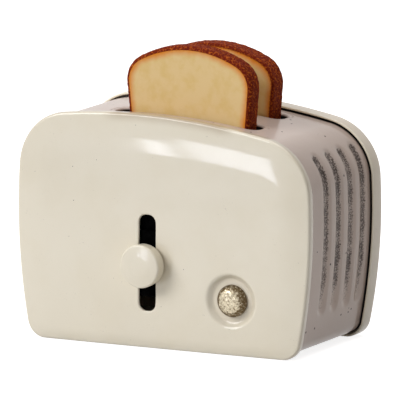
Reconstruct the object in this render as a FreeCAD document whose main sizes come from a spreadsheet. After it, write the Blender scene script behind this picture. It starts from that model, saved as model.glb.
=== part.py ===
import FreeCAD, Part
import math
import os
import re
import Sketcher

# Toy toaster of pressed and enamelled tinplate, millimetres.
# X runs to the right, Y to the back and Z up. Z = 0 is the surface that it stands on.
# The front dish, the band and the rear dish are laid out from the front plane, where the
# front dish is highest. The knob and the heads of the rear screws stand out past the dishes.

doc = FreeCAD.newDocument("ToyToaster")
sheet = doc.addObject("Spreadsheet::Sheet", "Sizes")

SIZES = [
    # Outline of the two dishes
    ("panel_width", 60.0),
    ("panel_height", 42.4),
    ("top_radius", 132.8),
    ("side_radius", 115.7),
    ("side_centre_height", 24.1),
    ("top_corner_radius", 10.65),
    ("bottom_corner_radius", 3.7),
    # Case
    ("case_depth", 29.15),
    ("panel_sheet", 0.45),
    ("shoulder_radius", 0.5),
    ("front_flange_depth", 2.4),
    ("rear_flange_depth", 4.0),
    ("hem_wall", 0.7),
    ("band_fit", 0.05),
    ("band_sheet", 0.35),
    ("band_end_gap", 0.1),
    ("overcut", 1.0),
    # Grooves in the sides of the band
    ("groove_count", 4),
    ("groove_first", 8.95),
    ("groove_pitch", 4.6),
    ("groove_width", 2.0),
    ("groove_floor", 0.9),
    ("groove_depth", 0.35),
    ("groove_bottom", 9.9),
    ("groove_top", 35.7),
    # Bread slots in the top of the band
    ("slot_length", 29.2),
    ("slot_width", 4.6),
    ("slot_end_radius", 1.8),
    ("slot_lip_depth", 2.4),
    ("front_slot_offset", 1.2),
    ("front_slot_depth", 9.3),
    ("rear_slot_offset", 0.1),
    ("rear_slot_depth", 20.4),
    # Lever slot in the front dish
    ("lever_slot_offset", -2.8),
    ("lever_slot_height", 15.7),
    ("lever_slot_width", 3.4),
    ("lever_slot_length", 17.5),
    ("lever_slot_end_radius", 1.45),
    # Lever
    ("lever_height", 15.5),
    ("knob_diameter", 7.9),
    ("knob_thickness", 2.7),
    ("knob_gap", 0.4),
    ("knob_edge_radius", 0.4),
    ("knob_hub_diameter", 5.0),
    ("knob_hub_height", 0.25),
    ("stem_diameter", 2.8),
    ("stem_grip", 1.5),
    ("stem_tail_diameter", 1.6),
    ("pin_fit", 0.05),
    ("slide_width", 9.0),
    ("slide_height", 12.0),
    ("slide_sheet", 0.6),
    ("slide_place", 0.75),
    ("layer_gap", 0.05),
    # Guide rails of the slide plate
    ("rail_sheet", 0.4),
    ("rail_length", 27.4),
    ("rail_foot", 2.4),
    ("rail_lip", 1.3),
    ("rail_gap", 0.12),
    ("rail_place", 0.5),
    # Carriage under the slices
    ("carriage_sheet", 0.5),
    ("web_width", 5.0),
    ("web_tail", 3.0),
    ("tray_height", 27.4),
    ("tray_left", -13.0),
    ("tray_right", 15.6),
    ("tray_side_drop", 2.0),
    ("trough_lip", 2.2),
    ("trough_gap", 0.25),
    ("rest_gap", 0.1),
    # Friction spring, washer and nut behind the carriage
    ("spring_sheet", 0.25),
    ("spring_height", 4.0),
    ("spring_bow", 0.8),
    ("spring_end", 0.5),
    ("washer_diameter", 3.8),
    ("washer_thickness", 0.3),
    ("nut_flats", 3.2),
    ("nut_thickness", 1.2),
    # Dial rivet in its dimple
    ("dial_offset", 14.2),
    ("dial_height", 10.05),
    ("dimple_radius", 5.2),
    ("dimple_floor_radius", 4.1),
    ("dimple_depth", 1.0),
    ("rivet_head_diameter", 5.9),
    ("rivet_crest_share", 0.36),
    ("rivet_head_height", 1.45),
    ("rivet_dome", 0.35),
    ("rivet_shank_diameter", 2.4),
    ("rivet_clinch_diameter", 3.6),
    ("rivet_clinch_height", 0.5),
    ("dial_washer_diameter", 5.2),
    ("dial_washer_thickness", 0.5),
    # Posts that tie the dishes together and their screws
    ("post_diameter", 3.2),
    ("post_margin", 8.0),
    ("post_low", 7.5),
    ("post_bore_depth", 5.0),
    ("rear_screw_diameter", 1.8),
    ("rear_screw_head_diameter", 4.0),
    ("rear_screw_head_height", 1.0),
    ("rear_screw_length", 5.0),
    ("screw_recess_width", 0.5),
    ("screw_recess_depth", 0.4),
    # Base plate and its screws
    ("base_opening_margin", 13.0),
    ("base_plate_margin", 8.0),
    ("base_plate_sheet", 0.5),
    ("base_plate_rim", 1.6),
    ("base_plate_gap", 0.3),
    ("base_screw_margin", 10.5),
    ("base_screw_inset", 5.5),
    ("base_screw_diameter", 1.6),
    ("base_screw_head_diameter", 3.0),
    ("base_screw_head_height", 0.5),
    ("base_screw_length", 2.6),
    # Bread slices
    ("slice_thickness", 3.7),
    ("slice_base_width", 22.2),
    ("slice_widest", 25.9),
    ("slice_widest_height", 19.4),
    ("slice_dome_radius", 22.0),
    ("slice_corner_radius", 5.1),
    ("slice_edge", 0.4),
    ("front_slice_height", 26.3),
    ("rear_slice_height", 25.2),
    ("front_slice_offset", 2.0),
    ("rear_slice_offset", 0.7),
]
ALIASES = set()
for row, (alias, number) in enumerate(SIZES, start=1):
    sheet.set("A%d" % row, str(number))
    sheet.setAlias("A%d" % row, alias)
    ALIASES.add(alias)
sheet.recompute()

# Places that several pieces share, as expressions of the driving sizes
WORDS = {
    "front_plane": "(-(case_depth + screw_stand - knob_front) / 2)",
    "knob_front": "(knob_gap + knob_thickness)",
    "screw_stand": "(rear_screw_head_height + layer_gap)",
    "rear_plane": "(front_plane + case_depth)",
    "band_inset": "(hem_wall + band_fit)",
    "band_inner_inset": "(hem_wall + band_fit + band_sheet)",
    "band_front": "(front_plane + panel_sheet + band_end_gap)",
    "band_back": "(rear_plane - panel_sheet - band_end_gap)",
    "front_slot_y": "(front_plane + front_slot_depth)",
    "rear_slot_y": "(front_plane + rear_slot_depth)",
    "slide_front": "(front_plane + slide_place)",
    "slide_back": "(slide_front + slide_sheet)",
    "web_front": "(slide_back + layer_gap)",
    "web_back": "(web_front + carriage_sheet)",
    "lip_front": "(slide_back + rail_gap)",
    "lip_back": "(lip_front + rail_sheet)",
    "spring_foot": "(lip_back + rail_gap)",
    "spring_top": "(spring_foot + spring_bow + spring_sheet)",
    "washer_back": "(spring_top + layer_gap + washer_thickness)",
    "nut_front": "(washer_back + layer_gap)",
    "nut_back": "(nut_front + nut_thickness)",
    "base_plate_bottom": "(band_inner_inset + layer_gap)",
    "post_front": "(front_plane + panel_sheet + layer_gap)",
    "post_back": "(rear_plane - panel_sheet - layer_gap)",
    "post_high": "(panel_height - post_low)",
    "post_offset": "(panel_width / 2 - post_margin)",
    "base_opening": "(panel_width - 2 * base_opening_margin)",
    "base_plate_width": "(panel_width - 2 * base_plate_margin)",
    "base_screw_offset": "(panel_width / 2 - base_screw_margin)",
    "tray_front": "(lip_back + rail_sheet)",
    "tray_back": "(rear_slot_y + slice_thickness / 2 + trough_gap + carriage_sheet)",
    "slice_floor": "(tray_height + carriage_sheet + rest_gap)",
    "dial_y": "(front_plane + dimple_depth)",
}
WORD = re.compile(r"[A-Za-z_][A-Za-z_0-9]*")


def full(expression):
    """Spell an expression out in cells of the sheet, shared places included."""
    text = expression
    while True:
        spelled = WORD.sub(lambda match: WORDS.get(match.group(0), match.group(0)), text)
        if spelled == text:
            break
        text = spelled
    return WORD.sub(lambda match: "Sizes." + match.group(0) if match.group(0) in ALIASES else match.group(0), text)


def value(expression):
    """The number that an expression of the sizes comes to now."""
    return float(sheet.evalExpression(full(expression)))


def bind(feature, prop, expression):
    """Tie one property of a feature to the sizes."""
    feature.setExpression(prop, full(expression))


# Bodies and sketches

def new_body(label):
    body = doc.addObject("PartDesign::Body", label)
    body.Label = label
    return body


def new_sketch(body, name, plane, lift="0", shift="0"):
    """A sketch on one of the body's own origin planes, lifted along its normal."""
    sketch = body.newObject("Sketcher::SketchObject", name)
    support = [item for item in body.Origin.OriginFeatures if item.Role == plane][0]
    sketch.AttachmentSupport = [(support, "")]
    sketch.MapMode = "FlatFace"
    bind(sketch, "AttachmentOffset.Base.z", lift)
    bind(sketch, "AttachmentOffset.Base.x", shift)
    return sketch


def set_point(sketch, geometry, vertex, across, up):
    """Hold one point of a sketch at two distances from the sketch's origin."""
    for kind, expression in (("DistanceX", across), ("DistanceY", up)):
        index = sketch.addConstraint(Sketcher.Constraint(kind, -1, 1, geometry, vertex, value(expression)))
        bind(sketch, "Constraints[%d]" % index, expression)


def set_radius(sketch, geometry, expression):
    index = sketch.addConstraint(Sketcher.Constraint("Radius", geometry, value(expression)))
    bind(sketch, "Constraints[%d]" % index, expression)


def polygon(sketch, corners):
    """A closed run of straight lines through corners given as pairs of expressions."""
    first = sketch.GeometryCount
    points = [FreeCAD.Vector(value(across), value(up), 0) for across, up in corners]
    count = len(points)
    for index in range(count):
        sketch.addGeometry(Part.LineSegment(points[index], points[(index + 1) % count]), False)
    for index in range(count):
        following = first + (index + 1) % count
        sketch.addConstraint(Sketcher.Constraint("Coincident", first + index, 2, following, 1))
    for index, (across, up) in enumerate(corners):
        set_point(sketch, first + index, 1, across, up)


def rectangle(sketch, left, right, low, high):
    polygon(sketch, [(left, low), (right, low), (right, high), (left, high)])


def circle(sketch, across, up, radius):
    centre = FreeCAD.Vector(value(across), value(up), 0)
    index = sketch.addGeometry(Part.Circle(centre, FreeCAD.Vector(0, 0, 1), value(radius)), False)
    set_point(sketch, index, 3, across, up)
    set_radius(sketch, index, radius)


def arc(centre, radius, start, end):
    """An arc counterclockwise from one point to another about a centre."""
    from_angle = math.atan2(start.y - centre.y, start.x - centre.x)
    to_angle = math.atan2(end.y - centre.y, end.x - centre.x)
    if to_angle < from_angle:
        to_angle += 2 * math.pi
    round_form = Part.Circle(centre, FreeCAD.Vector(0, 0, 1), radius)
    return Part.ArcOfCircle(round_form, from_angle, to_angle)


def meet(first, first_radius, second, second_radius, upper):
    """The point at two given distances from two centres, the upper or the lower one."""
    between = second - first
    span = between.Length
    along = (first_radius ** 2 - second_radius ** 2 + span ** 2) / (2 * span)
    aside = math.sqrt(first_radius ** 2 - along ** 2)
    unit = between / span
    normal = FreeCAD.Vector(-unit.y, unit.x, 0)
    choices = [first + unit * along + normal * aside, first + unit * along - normal * aside]
    choices.sort(key=lambda point: point.y)
    return choices[1] if upper else choices[0]


def outline_centres():
    """Centres of the arcs of the right half of the dish outline, in X and Z."""
    top = FreeCAD.Vector(0, value("panel_height - top_radius"), 0)
    side = FreeCAD.Vector(value("panel_width / 2 - side_radius"), value("side_centre_height"), 0)
    corner = value("top_corner_radius")
    high = meet(top, value("top_radius") - corner, side, value("side_radius") - corner, True)
    foot = value("bottom_corner_radius")
    reach = value("side_radius") - foot
    low = FreeCAD.Vector(side.x + math.sqrt(reach ** 2 - (side.y - foot) ** 2), foot, 0)
    return top, side, high, low


def mirrored(point):
    return FreeCAD.Vector(-point.x, point.y, 0)


def draw_outline(sketch, inset):
    """The dish outline moved inwards by an inset: one shallow arch on top, two bowed sides,
    rounded corners and a flat foot, each arc tangent to the next."""
    top, side, high, low = outline_centres()
    inward = value(inset)
    radius = {
        "top": value("top_radius") - inward,
        "side": value("side_radius") - inward,
        "high": value("top_corner_radius") - inward,
        "low": value("bottom_corner_radius") - inward,
    }
    crown = top + (high - top).normalize() * radius["top"]
    shoulder = side + (high - side).normalize() * radius["side"]
    ankle = side + (low - side).normalize() * radius["side"]
    heel = FreeCAD.Vector(low.x, inward, 0)
    edges = [
        arc(top, radius["top"], crown, mirrored(crown)),
        arc(mirrored(high), radius["high"], mirrored(crown), mirrored(shoulder)),
        arc(mirrored(side), radius["side"], mirrored(shoulder), mirrored(ankle)),
        arc(mirrored(low), radius["low"], mirrored(ankle), mirrored(heel)),
        Part.LineSegment(mirrored(heel), heel),
        arc(low, radius["low"], heel, ankle),
        arc(side, radius["side"], ankle, shoulder),
        arc(high, radius["high"], shoulder, crown),
    ]
    for edge in edges:
        sketch.addGeometry(edge, False)
    count = len(edges)
    for index in range(count):
        sketch.addConstraint(Sketcher.Constraint("Tangent", index, 2, (index + 1) % count, 1))
    sketch.addConstraint(Sketcher.Constraint("Horizontal", 4))
    index = sketch.addConstraint(Sketcher.Constraint("DistanceY", -1, 1, 4, 1, inward))
    bind(sketch, "Constraints[%d]" % index, inset)
    set_radius(sketch, 0, "top_radius - (%s)" % inset)
    set_radius(sketch, 6, "side_radius - (%s)" % inset)
    set_radius(sketch, 7, "top_corner_radius - (%s)" % inset)
    set_radius(sketch, 5, "bottom_corner_radius - (%s)" % inset)
    for right, left in ((6, 2), (7, 1), (5, 3)):
        sketch.addConstraint(Sketcher.Constraint("Equal", right, left))
    set_point(sketch, 0, 3, "0", "panel_height - top_radius")
    set_point(sketch, 6, 3, "panel_width / 2 - side_radius", "side_centre_height")
    sketch.addConstraint(Sketcher.Constraint("Symmetric", 6, 3, 2, 3, -2))


def pad(body, name, sketch, length, backward=False):
    feature = body.newObject("PartDesign::Pad", name)
    feature.Profile = sketch
    feature.Reversed = backward
    bind(feature, "Length", length)
    return feature


def pocket(body, name, sketch, length, forward=False):
    feature = body.newObject("PartDesign::Pocket", name)
    feature.Profile = sketch
    feature.Reversed = forward
    feature.Midplane = False
    bind(feature, "Length", length)
    return feature


def turned(body, name, sketch, kind="PartDesign::Revolution"):
    """A revolution or a groove of a sketch about the sketch's own vertical axis."""
    feature = body.newObject(kind, name)
    feature.Profile = sketch
    feature.ReferenceAxis = (sketch, ["V_Axis"])
    feature.Angle = 360.0
    return feature


def edge_names(shape, test):
    return ["Edge%d" % (index + 1) for index, edge in enumerate(shape.Edges) if test(edge)]


def fillet(body, name, base, radius, test):
    doc.recompute()
    feature = body.newObject("PartDesign::Fillet", name)
    feature.Base = (base, edge_names(base.Shape, test))
    bind(feature, "Radius", radius)
    return feature


def lies_at(edge, axis, place, tolerance=0.01):
    """Whether a whole edge lies on one plane across an axis."""
    low = getattr(edge.BoundBox, axis + "Min")
    high = getattr(edge.BoundBox, axis + "Max")
    return abs(low - place) < tolerance and abs(high - place) < tolerance


# Dishes

def dish(label, plane, depth, wall, inward):
    """One pressed dish: a flat slab of the outline with a rolled shoulder, hollow from behind.

    inward is 1 for the front dish, which opens to the back, and -1 for the rear dish."""
    body = new_body(label)
    outline = new_sketch(body, "DishOutline", "XZ_Plane", "-(%s)" % plane)
    draw_outline(outline, "0")
    block = pad(body, "Dish", outline, depth, backward=inward > 0)
    face = value(plane)
    fillet(body, "Shoulder", block, "shoulder_radius", lambda edge: lies_at(edge, "Y", face))
    inside = new_sketch(body, "DishInside", "XZ_Plane", "-((%s) + (%d) * panel_sheet)" % (plane, inward))
    draw_outline(inside, wall)
    pocket(body, "DishHollow", inside, depth, forward=inward < 0)
    return body


def rounded_rectangle(sketch, across, up, width, height, radius):
    """A rectangle about a centre, its four corners rounded by one radius."""
    first = sketch.GeometryCount
    x, y, r = value(across), value(up), value(radius)
    right, top = value(width) / 2, value(height) / 2
    centres = [(x + right - r, y - top + r), (x + right - r, y + top - r),
               (x - right + r, y + top - r), (x - right + r, y - top + r)]
    for turn, (centre_x, centre_y) in enumerate(centres):
        start = (turn - 1) * math.pi / 2
        centre = FreeCAD.Vector(centre_x, centre_y, 0)
        round_form = Part.Circle(centre, FreeCAD.Vector(0, 0, 1), r)
        corner = Part.ArcOfCircle(round_form, start, start + math.pi / 2)
        sketch.addGeometry(corner, False)
        following = centres[(turn + 1) % 4]
        ahead = FreeCAD.Vector(following[0], following[1], 0)
        out = FreeCAD.Vector(math.cos(start + math.pi / 2), math.sin(start + math.pi / 2), 0) * r
        sketch.addGeometry(Part.LineSegment(centre + out, ahead + out), False)
    for index in range(8):
        following = first + (index + 1) % 8
        sketch.addConstraint(Sketcher.Constraint("Tangent", first + index, 2, following, 1))
    for index, kind in ((1, "Vertical"), (3, "Horizontal"), (5, "Vertical"), (7, "Horizontal")):
        sketch.addConstraint(Sketcher.Constraint(kind, first + index))
    set_radius(sketch, first, radius)
    for index in (2, 4, 6):
        sketch.addConstraint(Sketcher.Constraint("Equal", first, first + index))
    sides = [
        ("DistanceX", 1, "(%s) + (%s) / 2" % (across, width)),
        ("DistanceY", 3, "(%s) + (%s) / 2" % (up, height)),
        ("DistanceX", 5, "(%s) - (%s) / 2" % (across, width)),
        ("DistanceY", 7, "(%s) - (%s) / 2" % (up, height)),
    ]
    for kind, line, expression in sides:
        held = Sketcher.Constraint(kind, -1, 1, first + line, 1, value(expression))
        index = sketch.addConstraint(held)
        bind(sketch, "Constraints[%d]" % index, expression)


def make_front_panel():
    """The front dish, with the lever slot and the dimple that the dial rivet sits in."""
    body = dish("front_panel", "front_plane", "front_flange_depth", "hem_wall", 1)
    back = new_sketch(body, "DimpleBackProfile", "XY_Plane", "dial_height", "dial_offset")
    polygon(back, [
        ("0", "front_plane + panel_sheet"),
        ("dimple_radius + panel_sheet", "front_plane + panel_sheet"),
        ("dimple_floor_radius + panel_sheet / 2", "dial_y + panel_sheet"),
        ("0", "dial_y + panel_sheet"),
    ])
    turned(body, "DimpleBack", back)
    hollow = new_sketch(body, "DimpleProfile", "XY_Plane", "dial_height", "dial_offset")
    polygon(hollow, [
        ("0", "front_plane - overcut"),
        ("dimple_radius + overcut", "front_plane - overcut"),
        ("dimple_radius", "front_plane + panel_sheet / 2"),
        ("dimple_floor_radius", "dial_y"),
        ("0", "dial_y"),
    ])
    turned(body, "Dimple", hollow, "PartDesign::Groove")
    holes = new_sketch(body, "SlotOutline", "XZ_Plane", "-(front_plane - overcut)")
    rounded_rectangle(holes, "lever_slot_offset", "lever_slot_height", "lever_slot_width",
                      "lever_slot_length", "lever_slot_end_radius")
    circle(holes, "dial_offset", "dial_height", "rivet_shank_diameter / 2 + pin_fit")
    pocket(body, "Slot", holes, "front_flange_depth + overcut")
    return body


def make_rear_panel():
    """The rear dish, deeper than the front one, with four screw holes."""
    body = dish("rear_panel", "rear_plane", "rear_flange_depth", "panel_sheet", -1)
    holes = new_sketch(body, "ScrewHoles", "XZ_Plane", "-(rear_plane - rear_flange_depth)")
    for across in ("post_offset", "-post_offset"):
        for up in ("post_low", "post_high"):
            circle(holes, across, up, "rear_screw_diameter / 2 + pin_fit")
    pocket(body, "Holes", holes, "rear_flange_depth + overcut")
    return body


# Band

def groove_tools(sheet):
    """Bars along both sides of the band, one for each groove, each a trapezium in section.

    Each bar follows the bowed side and runs up round the top corner, and its ends are turned
    round. sheet thickens the bar, for the ridge that a groove raises inside."""
    top, side, high, low = outline_centres()
    inset = value("band_inset")
    side_radius = value("side_radius") - inset
    corner_radius = value("top_corner_radius") - inset
    joint = math.atan2(high.y - side.y, high.x - side.x)
    start = math.asin((value("groove_bottom") - side.y) / side_radius)
    finish = math.asin((value("groove_top") - high.y) / corner_radius)
    mouth = value("groove_width / 2") + sheet
    floor = value("groove_floor / 2") + sheet
    depth = value("groove_depth") + sheet
    proud = value("groove_depth")
    upward = FreeCAD.Vector(0, -1, 0)
    half_turn = 180
    spread = mouth + (mouth - floor) * proud / depth
    bars = []

    def section(angle):
        """The outward direction at an angle and the corners of half the trapezium about it."""
        outward = FreeCAD.Vector(math.cos(angle), 0, math.sin(angle))
        corners = [outward * -depth, outward * -depth + FreeCAD.Vector(0, floor, 0),
                   outward * proud + FreeCAD.Vector(0, spread, 0), outward * proud]
        return outward, corners

    def face_through(axis_point, corners):
        return Part.Face(Part.makePolygon([axis_point + corner for corner in corners + corners[:1]]))

    for index in range(int(value("groove_count"))):
        place = value("front_plane + groove_first") + index * value("groove_pitch")

        pieces = []
        runs = ((side, side_radius, start, joint), (high, corner_radius, joint, finish))
        for centre, reach, low_angle, high_angle in runs:
            pivot = FreeCAD.Vector(centre.x, place, centre.y)
            outward, corners = section(low_angle)
            flipped = [FreeCAD.Vector(corner.x, -corner.y, corner.z) for corner in corners[1:3]]
            whole = face_through(pivot + outward * reach, [corners[1], corners[2], flipped[1], flipped[0]])
            pieces.append(whole.revolve(pivot, upward, math.degrees(high_angle - low_angle)))
        for centre, reach, angle, turn in ((side, side_radius, start, half_turn),
                                           (high, corner_radius, finish, -half_turn)):
            outward, corners = section(angle)
            axis_point = FreeCAD.Vector(centre.x, place, centre.y) + outward * reach
            pieces.append(face_through(axis_point, corners).revolve(axis_point, outward, -turn))
        bar = pieces[0].fuse(pieces[1:])
        bars.append(bar)
        bars.append(bar.mirror(FreeCAD.Vector(0, 0, 0), FreeCAD.Vector(1, 0, 0)))
    return Part.makeCompound(bars)


def make_body_band():
    """The sheet bent round top, sides and foot: two bread slots with turned-down lips above,
    pressed grooves at the sides and an opening below."""
    block = new_body("band_block")
    outer = new_sketch(block, "BandOuter", "XZ_Plane", "-(band_front)")
    draw_outline(outer, "band_inset")
    pad(block, "BandBlock", outer, "band_back - band_front", backward=True)

    body = new_body("band_sheet_form")
    outer = new_sketch(body, "BandOutline", "XZ_Plane", "-(band_front)")
    draw_outline(outer, "band_inset")
    pad(body, "BandForm", outer, "band_back - band_front", backward=True)
    inner = new_sketch(body, "BandInside", "XZ_Plane", "-(band_front)")
    draw_outline(inner, "band_inner_inset")
    pocket(body, "BandHollow", inner, "band_back - band_front")
    slots = (("front_slot_offset", "front_slot_y"), ("rear_slot_offset", "rear_slot_y"))
    lips = new_sketch(body, "SlotLipOutlines", "XY_Plane", "panel_height - band_inner_inset - slot_lip_depth")
    for across, up in slots:
        rounded_rectangle(lips, across, up, "slot_length + 2 * band_sheet", "slot_width + 2 * band_sheet",
                          "slot_end_radius + band_sheet")
    pad(body, "SlotLips", lips, "slot_lip_depth + band_inner_inset")
    trim = new_sketch(body, "LipTrim", "XZ_Plane", "-(band_front)")
    draw_outline(trim, "band_inset")
    rectangle(trim, "-panel_width", "panel_width", "-panel_height / 2", "panel_height * 1.5")
    pocket(body, "TrimmedLips", trim, "band_back - band_front")
    cuts = new_sketch(body, "SlotOutlines", "XY_Plane", "panel_height")
    for across, up in slots:
        rounded_rectangle(cuts, across, up, "slot_length", "slot_width", "slot_end_radius")
    pocket(body, "Slots", cuts, "slot_lip_depth + band_inner_inset + overcut")
    below = new_sketch(body, "FootCuts", "XY_Plane", "0")
    rectangle(below, "-base_opening / 2", "base_opening / 2", "band_front - overcut", "band_back + overcut")
    for across in ("base_screw_offset", "-base_screw_offset"):
        for up in ("band_front + base_screw_inset", "band_back - base_screw_inset"):
            circle(below, across, up, "base_screw_diameter / 2 + pin_fit")
    pocket(body, "Foot", below, "band_inner_inset + overcut", forward=True)
    doc.recompute()

    bars = doc.addObject("Part::Feature", "GrooveBars")
    bars.Shape = groove_tools(0)
    ridges = doc.addObject("Part::Feature", "GrooveRidges")
    ridges.Shape = groove_tools(value("band_sheet")).common(block.Shape)
    raised = doc.addObject("Part::MultiFuse", "BandWithRidges")
    raised.Shapes = [body, ridges]
    raised.Refine = True
    band = doc.addObject("Part::Cut", "body_band")
    band.Base = raised
    band.Tool = bars
    band.Label = "body_band"
    return band


# Fasteners and round pieces

def cylinder(name, across, along, up, radius, length):
    """A cylinder whose axis runs along Y from a start point."""
    rod = doc.addObject("Part::Cylinder", name)
    bind(rod, "Radius", radius)
    bind(rod, "Height", length)
    rod.Placement = FreeCAD.Placement(FreeCAD.Vector(), FreeCAD.Rotation(FreeCAD.Vector(1, 0, 0), -90))
    bind(rod, "Placement.Base.x", across)
    bind(rod, "Placement.Base.y", along)
    bind(rod, "Placement.Base.z", up)
    return rod


def cut(label, base, tool):
    result = doc.addObject("Part::Cut", label)
    result.Base = base
    result.Tool = tool
    result.Label = label
    return result


def ring(label, across, along, up, outer, inner, thickness):
    """A flat washer about an axis along Y."""
    disc = cylinder(label + "_disc", across, along, up, outer, thickness)
    bore = cylinder(label + "_bore", across, along, up, inner, thickness)
    return cut(label, disc, bore)


def turned_body(label, across, up, half_section):
    """A body turned about an axis along Y, from half its section: distance from the axis and Y."""
    body = new_body(label)
    sketch = new_sketch(body, "HalfSection", "XY_Plane", up, across)
    polygon(sketch, half_section)
    turned(body, "Turned", sketch)
    return body


def make_dial():
    """The dial: a domed rivet through the floor of the dimple, clinched over a washer."""
    rivet = turned_body("dial_rivet", "dial_offset", "dial_height", [
        ("0", "dial_y - layer_gap - rivet_head_height - rivet_dome"),
        ("rivet_head_diameter * rivet_crest_share", "dial_y - layer_gap - rivet_head_height"),
        ("rivet_head_diameter / 2", "dial_y - layer_gap - rivet_dome"),
        ("rivet_head_diameter / 2", "dial_y - layer_gap"),
        ("rivet_shank_diameter / 2", "dial_y - layer_gap"),
        ("rivet_shank_diameter / 2", "dial_y + panel_sheet + dial_washer_thickness + 2 * layer_gap"),
        ("rivet_clinch_diameter / 2", "dial_y + panel_sheet + dial_washer_thickness + 2 * layer_gap"),
        ("rivet_clinch_diameter / 2 - rivet_clinch_height / 2",
         "dial_y + panel_sheet + dial_washer_thickness + 2 * layer_gap + rivet_clinch_height"),
        ("0", "dial_y + panel_sheet + dial_washer_thickness + 2 * layer_gap + rivet_clinch_height"),
    ])
    doc.recompute()
    crest = value("dial_y - layer_gap - rivet_head_height")
    fillet(rivet, "Crest", rivet.Tip, "rivet_dome", lambda edge: lies_at(edge, "Y", crest))
    washer = ring("dial_washer", "dial_offset", "dial_y + panel_sheet + layer_gap", "dial_height",
                  "dial_washer_diameter / 2", "rivet_shank_diameter / 2 + pin_fit", "dial_washer_thickness")
    return [rivet, washer]


def make_knob():
    """The round knob, with a low hub towards the panel and a blind bore for the stem."""
    knob = turned_body("lever_knob", "lever_slot_offset", "lever_height", [
        ("0", "front_plane - knob_front"),
        ("knob_diameter / 2", "front_plane - knob_front"),
        ("knob_diameter / 2", "front_plane - knob_gap"),
        ("knob_hub_diameter / 2", "front_plane - knob_gap"),
        ("knob_hub_diameter / 2", "front_plane - knob_gap + knob_hub_height"),
        ("stem_diameter / 2 + pin_fit", "front_plane - knob_gap + knob_hub_height"),
        ("stem_diameter / 2 + pin_fit", "front_plane - knob_gap - stem_grip"),
        ("0", "front_plane - knob_gap - stem_grip"),
    ])
    doc.recompute()
    face = value("front_plane - knob_front")
    fillet(knob, "Rim", knob.Tip, "knob_edge_radius", lambda edge: lies_at(edge, "Y", face))
    return knob


def make_stem():
    """The shouldered stem: thick through the panel slot, thin through the pieces behind it."""
    return turned_body("lever_stem", "lever_slot_offset", "lever_height", [
        ("0", "front_plane - knob_gap - stem_grip + pin_fit"),
        ("stem_diameter / 2", "front_plane - knob_gap - stem_grip + pin_fit"),
        ("stem_diameter / 2", "slide_front - layer_gap"),
        ("stem_tail_diameter / 2", "slide_front - layer_gap"),
        ("stem_tail_diameter / 2", "nut_back + stem_tail_diameter / 4"),
        ("0", "nut_back + stem_tail_diameter / 4"),
    ])


def make_slide_plate():
    """The plate behind the lever slot, held between the guide rails."""
    body = new_body("slide_plate")
    sketch = new_sketch(body, "PlateOutline", "XZ_Plane", "-(slide_front)")
    rounded_rectangle(sketch, "lever_slot_offset", "lever_height", "slide_width", "slide_height", "slide_sheet")
    circle(sketch, "lever_slot_offset", "lever_height", "stem_tail_diameter / 2 + pin_fit")
    pad(body, "Plate", sketch, "slide_sheet", backward=True)
    return body


def make_rail(label, hand):
    """One guide rail: a foot on the panel, a riser beside the slide plate and a lip over it."""
    body = new_body(label)
    edge = "lever_slot_offset + (%d) * (slide_width / 2" % hand
    foot_end = edge + " + rail_gap + rail_sheet + rail_foot)"
    riser_out = edge + " + rail_gap + rail_sheet)"
    riser_in = edge + " + rail_gap)"
    lip_end = edge + " - rail_lip)"
    sketch = new_sketch(body, "RailSection", "XY_Plane", "lever_slot_height - rail_length / 2")
    polygon(sketch, [
        (foot_end, "front_plane + rail_place"),
        (riser_in, "front_plane + rail_place"),
        (riser_in, "lip_front"),
        (lip_end, "lip_front"),
        (lip_end, "lip_back"),
        (riser_out, "lip_back"),
        (riser_out, "front_plane + rail_place + rail_sheet"),
        (foot_end, "front_plane + rail_place + rail_sheet"),
    ])
    pad(body, "Rail", sketch, "rail_length")
    return body


def make_carriage():
    """The lift carriage: a web behind the slide plate and a tray with a trough under each slot."""
    body = new_body("lift_carriage")
    web = new_sketch(body, "WebOutline", "XZ_Plane", "-(web_front)")
    rectangle(web, "lever_slot_offset - web_width / 2", "lever_slot_offset + web_width / 2",
              "lever_height - web_tail", "tray_height + carriage_sheet")
    circle(web, "lever_slot_offset", "lever_height", "stem_tail_diameter / 2 + pin_fit")
    pad(body, "Web", web, "carriage_sheet", backward=True)
    tray = new_sketch(body, "TrayOutline", "XY_Plane", "tray_height")
    polygon(tray, [
        ("lever_slot_offset - web_width / 2", "web_front"),
        ("lever_slot_offset + web_width / 2", "web_front"),
        ("lever_slot_offset + web_width / 2", "tray_front"),
        ("tray_right", "tray_front"),
        ("tray_right", "tray_back"),
        ("tray_left", "tray_back"),
        ("tray_left", "tray_front"),
        ("lever_slot_offset - web_width / 2", "tray_front"),
    ])
    pad(body, "Tray", tray, "carriage_sheet")
    lips = new_sketch(body, "TroughLips", "XY_Plane", "tray_height")
    for place in ("front_slot_y", "rear_slot_y"):
        near = "%s + (%%d) * (slice_thickness / 2 + trough_gap)" % place
        far = "%s + (%%d) * (slice_thickness / 2 + trough_gap + carriage_sheet)" % place
        rectangle(lips, "tray_left", "tray_right", far % -1, near % -1)
        rectangle(lips, "tray_left", "tray_right", near % 1, far % 1)
    pad(body, "Lips", lips, "carriage_sheet + trough_lip")
    drops = new_sketch(body, "SideDrops", "XY_Plane", "tray_height - tray_side_drop")
    rectangle(drops, "tray_left", "tray_left + carriage_sheet", "tray_front", "tray_back")
    rectangle(drops, "tray_right - carriage_sheet", "tray_right", "tray_front", "tray_back")
    pad(body, "Drops", drops, "tray_side_drop + carriage_sheet")
    return body


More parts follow.
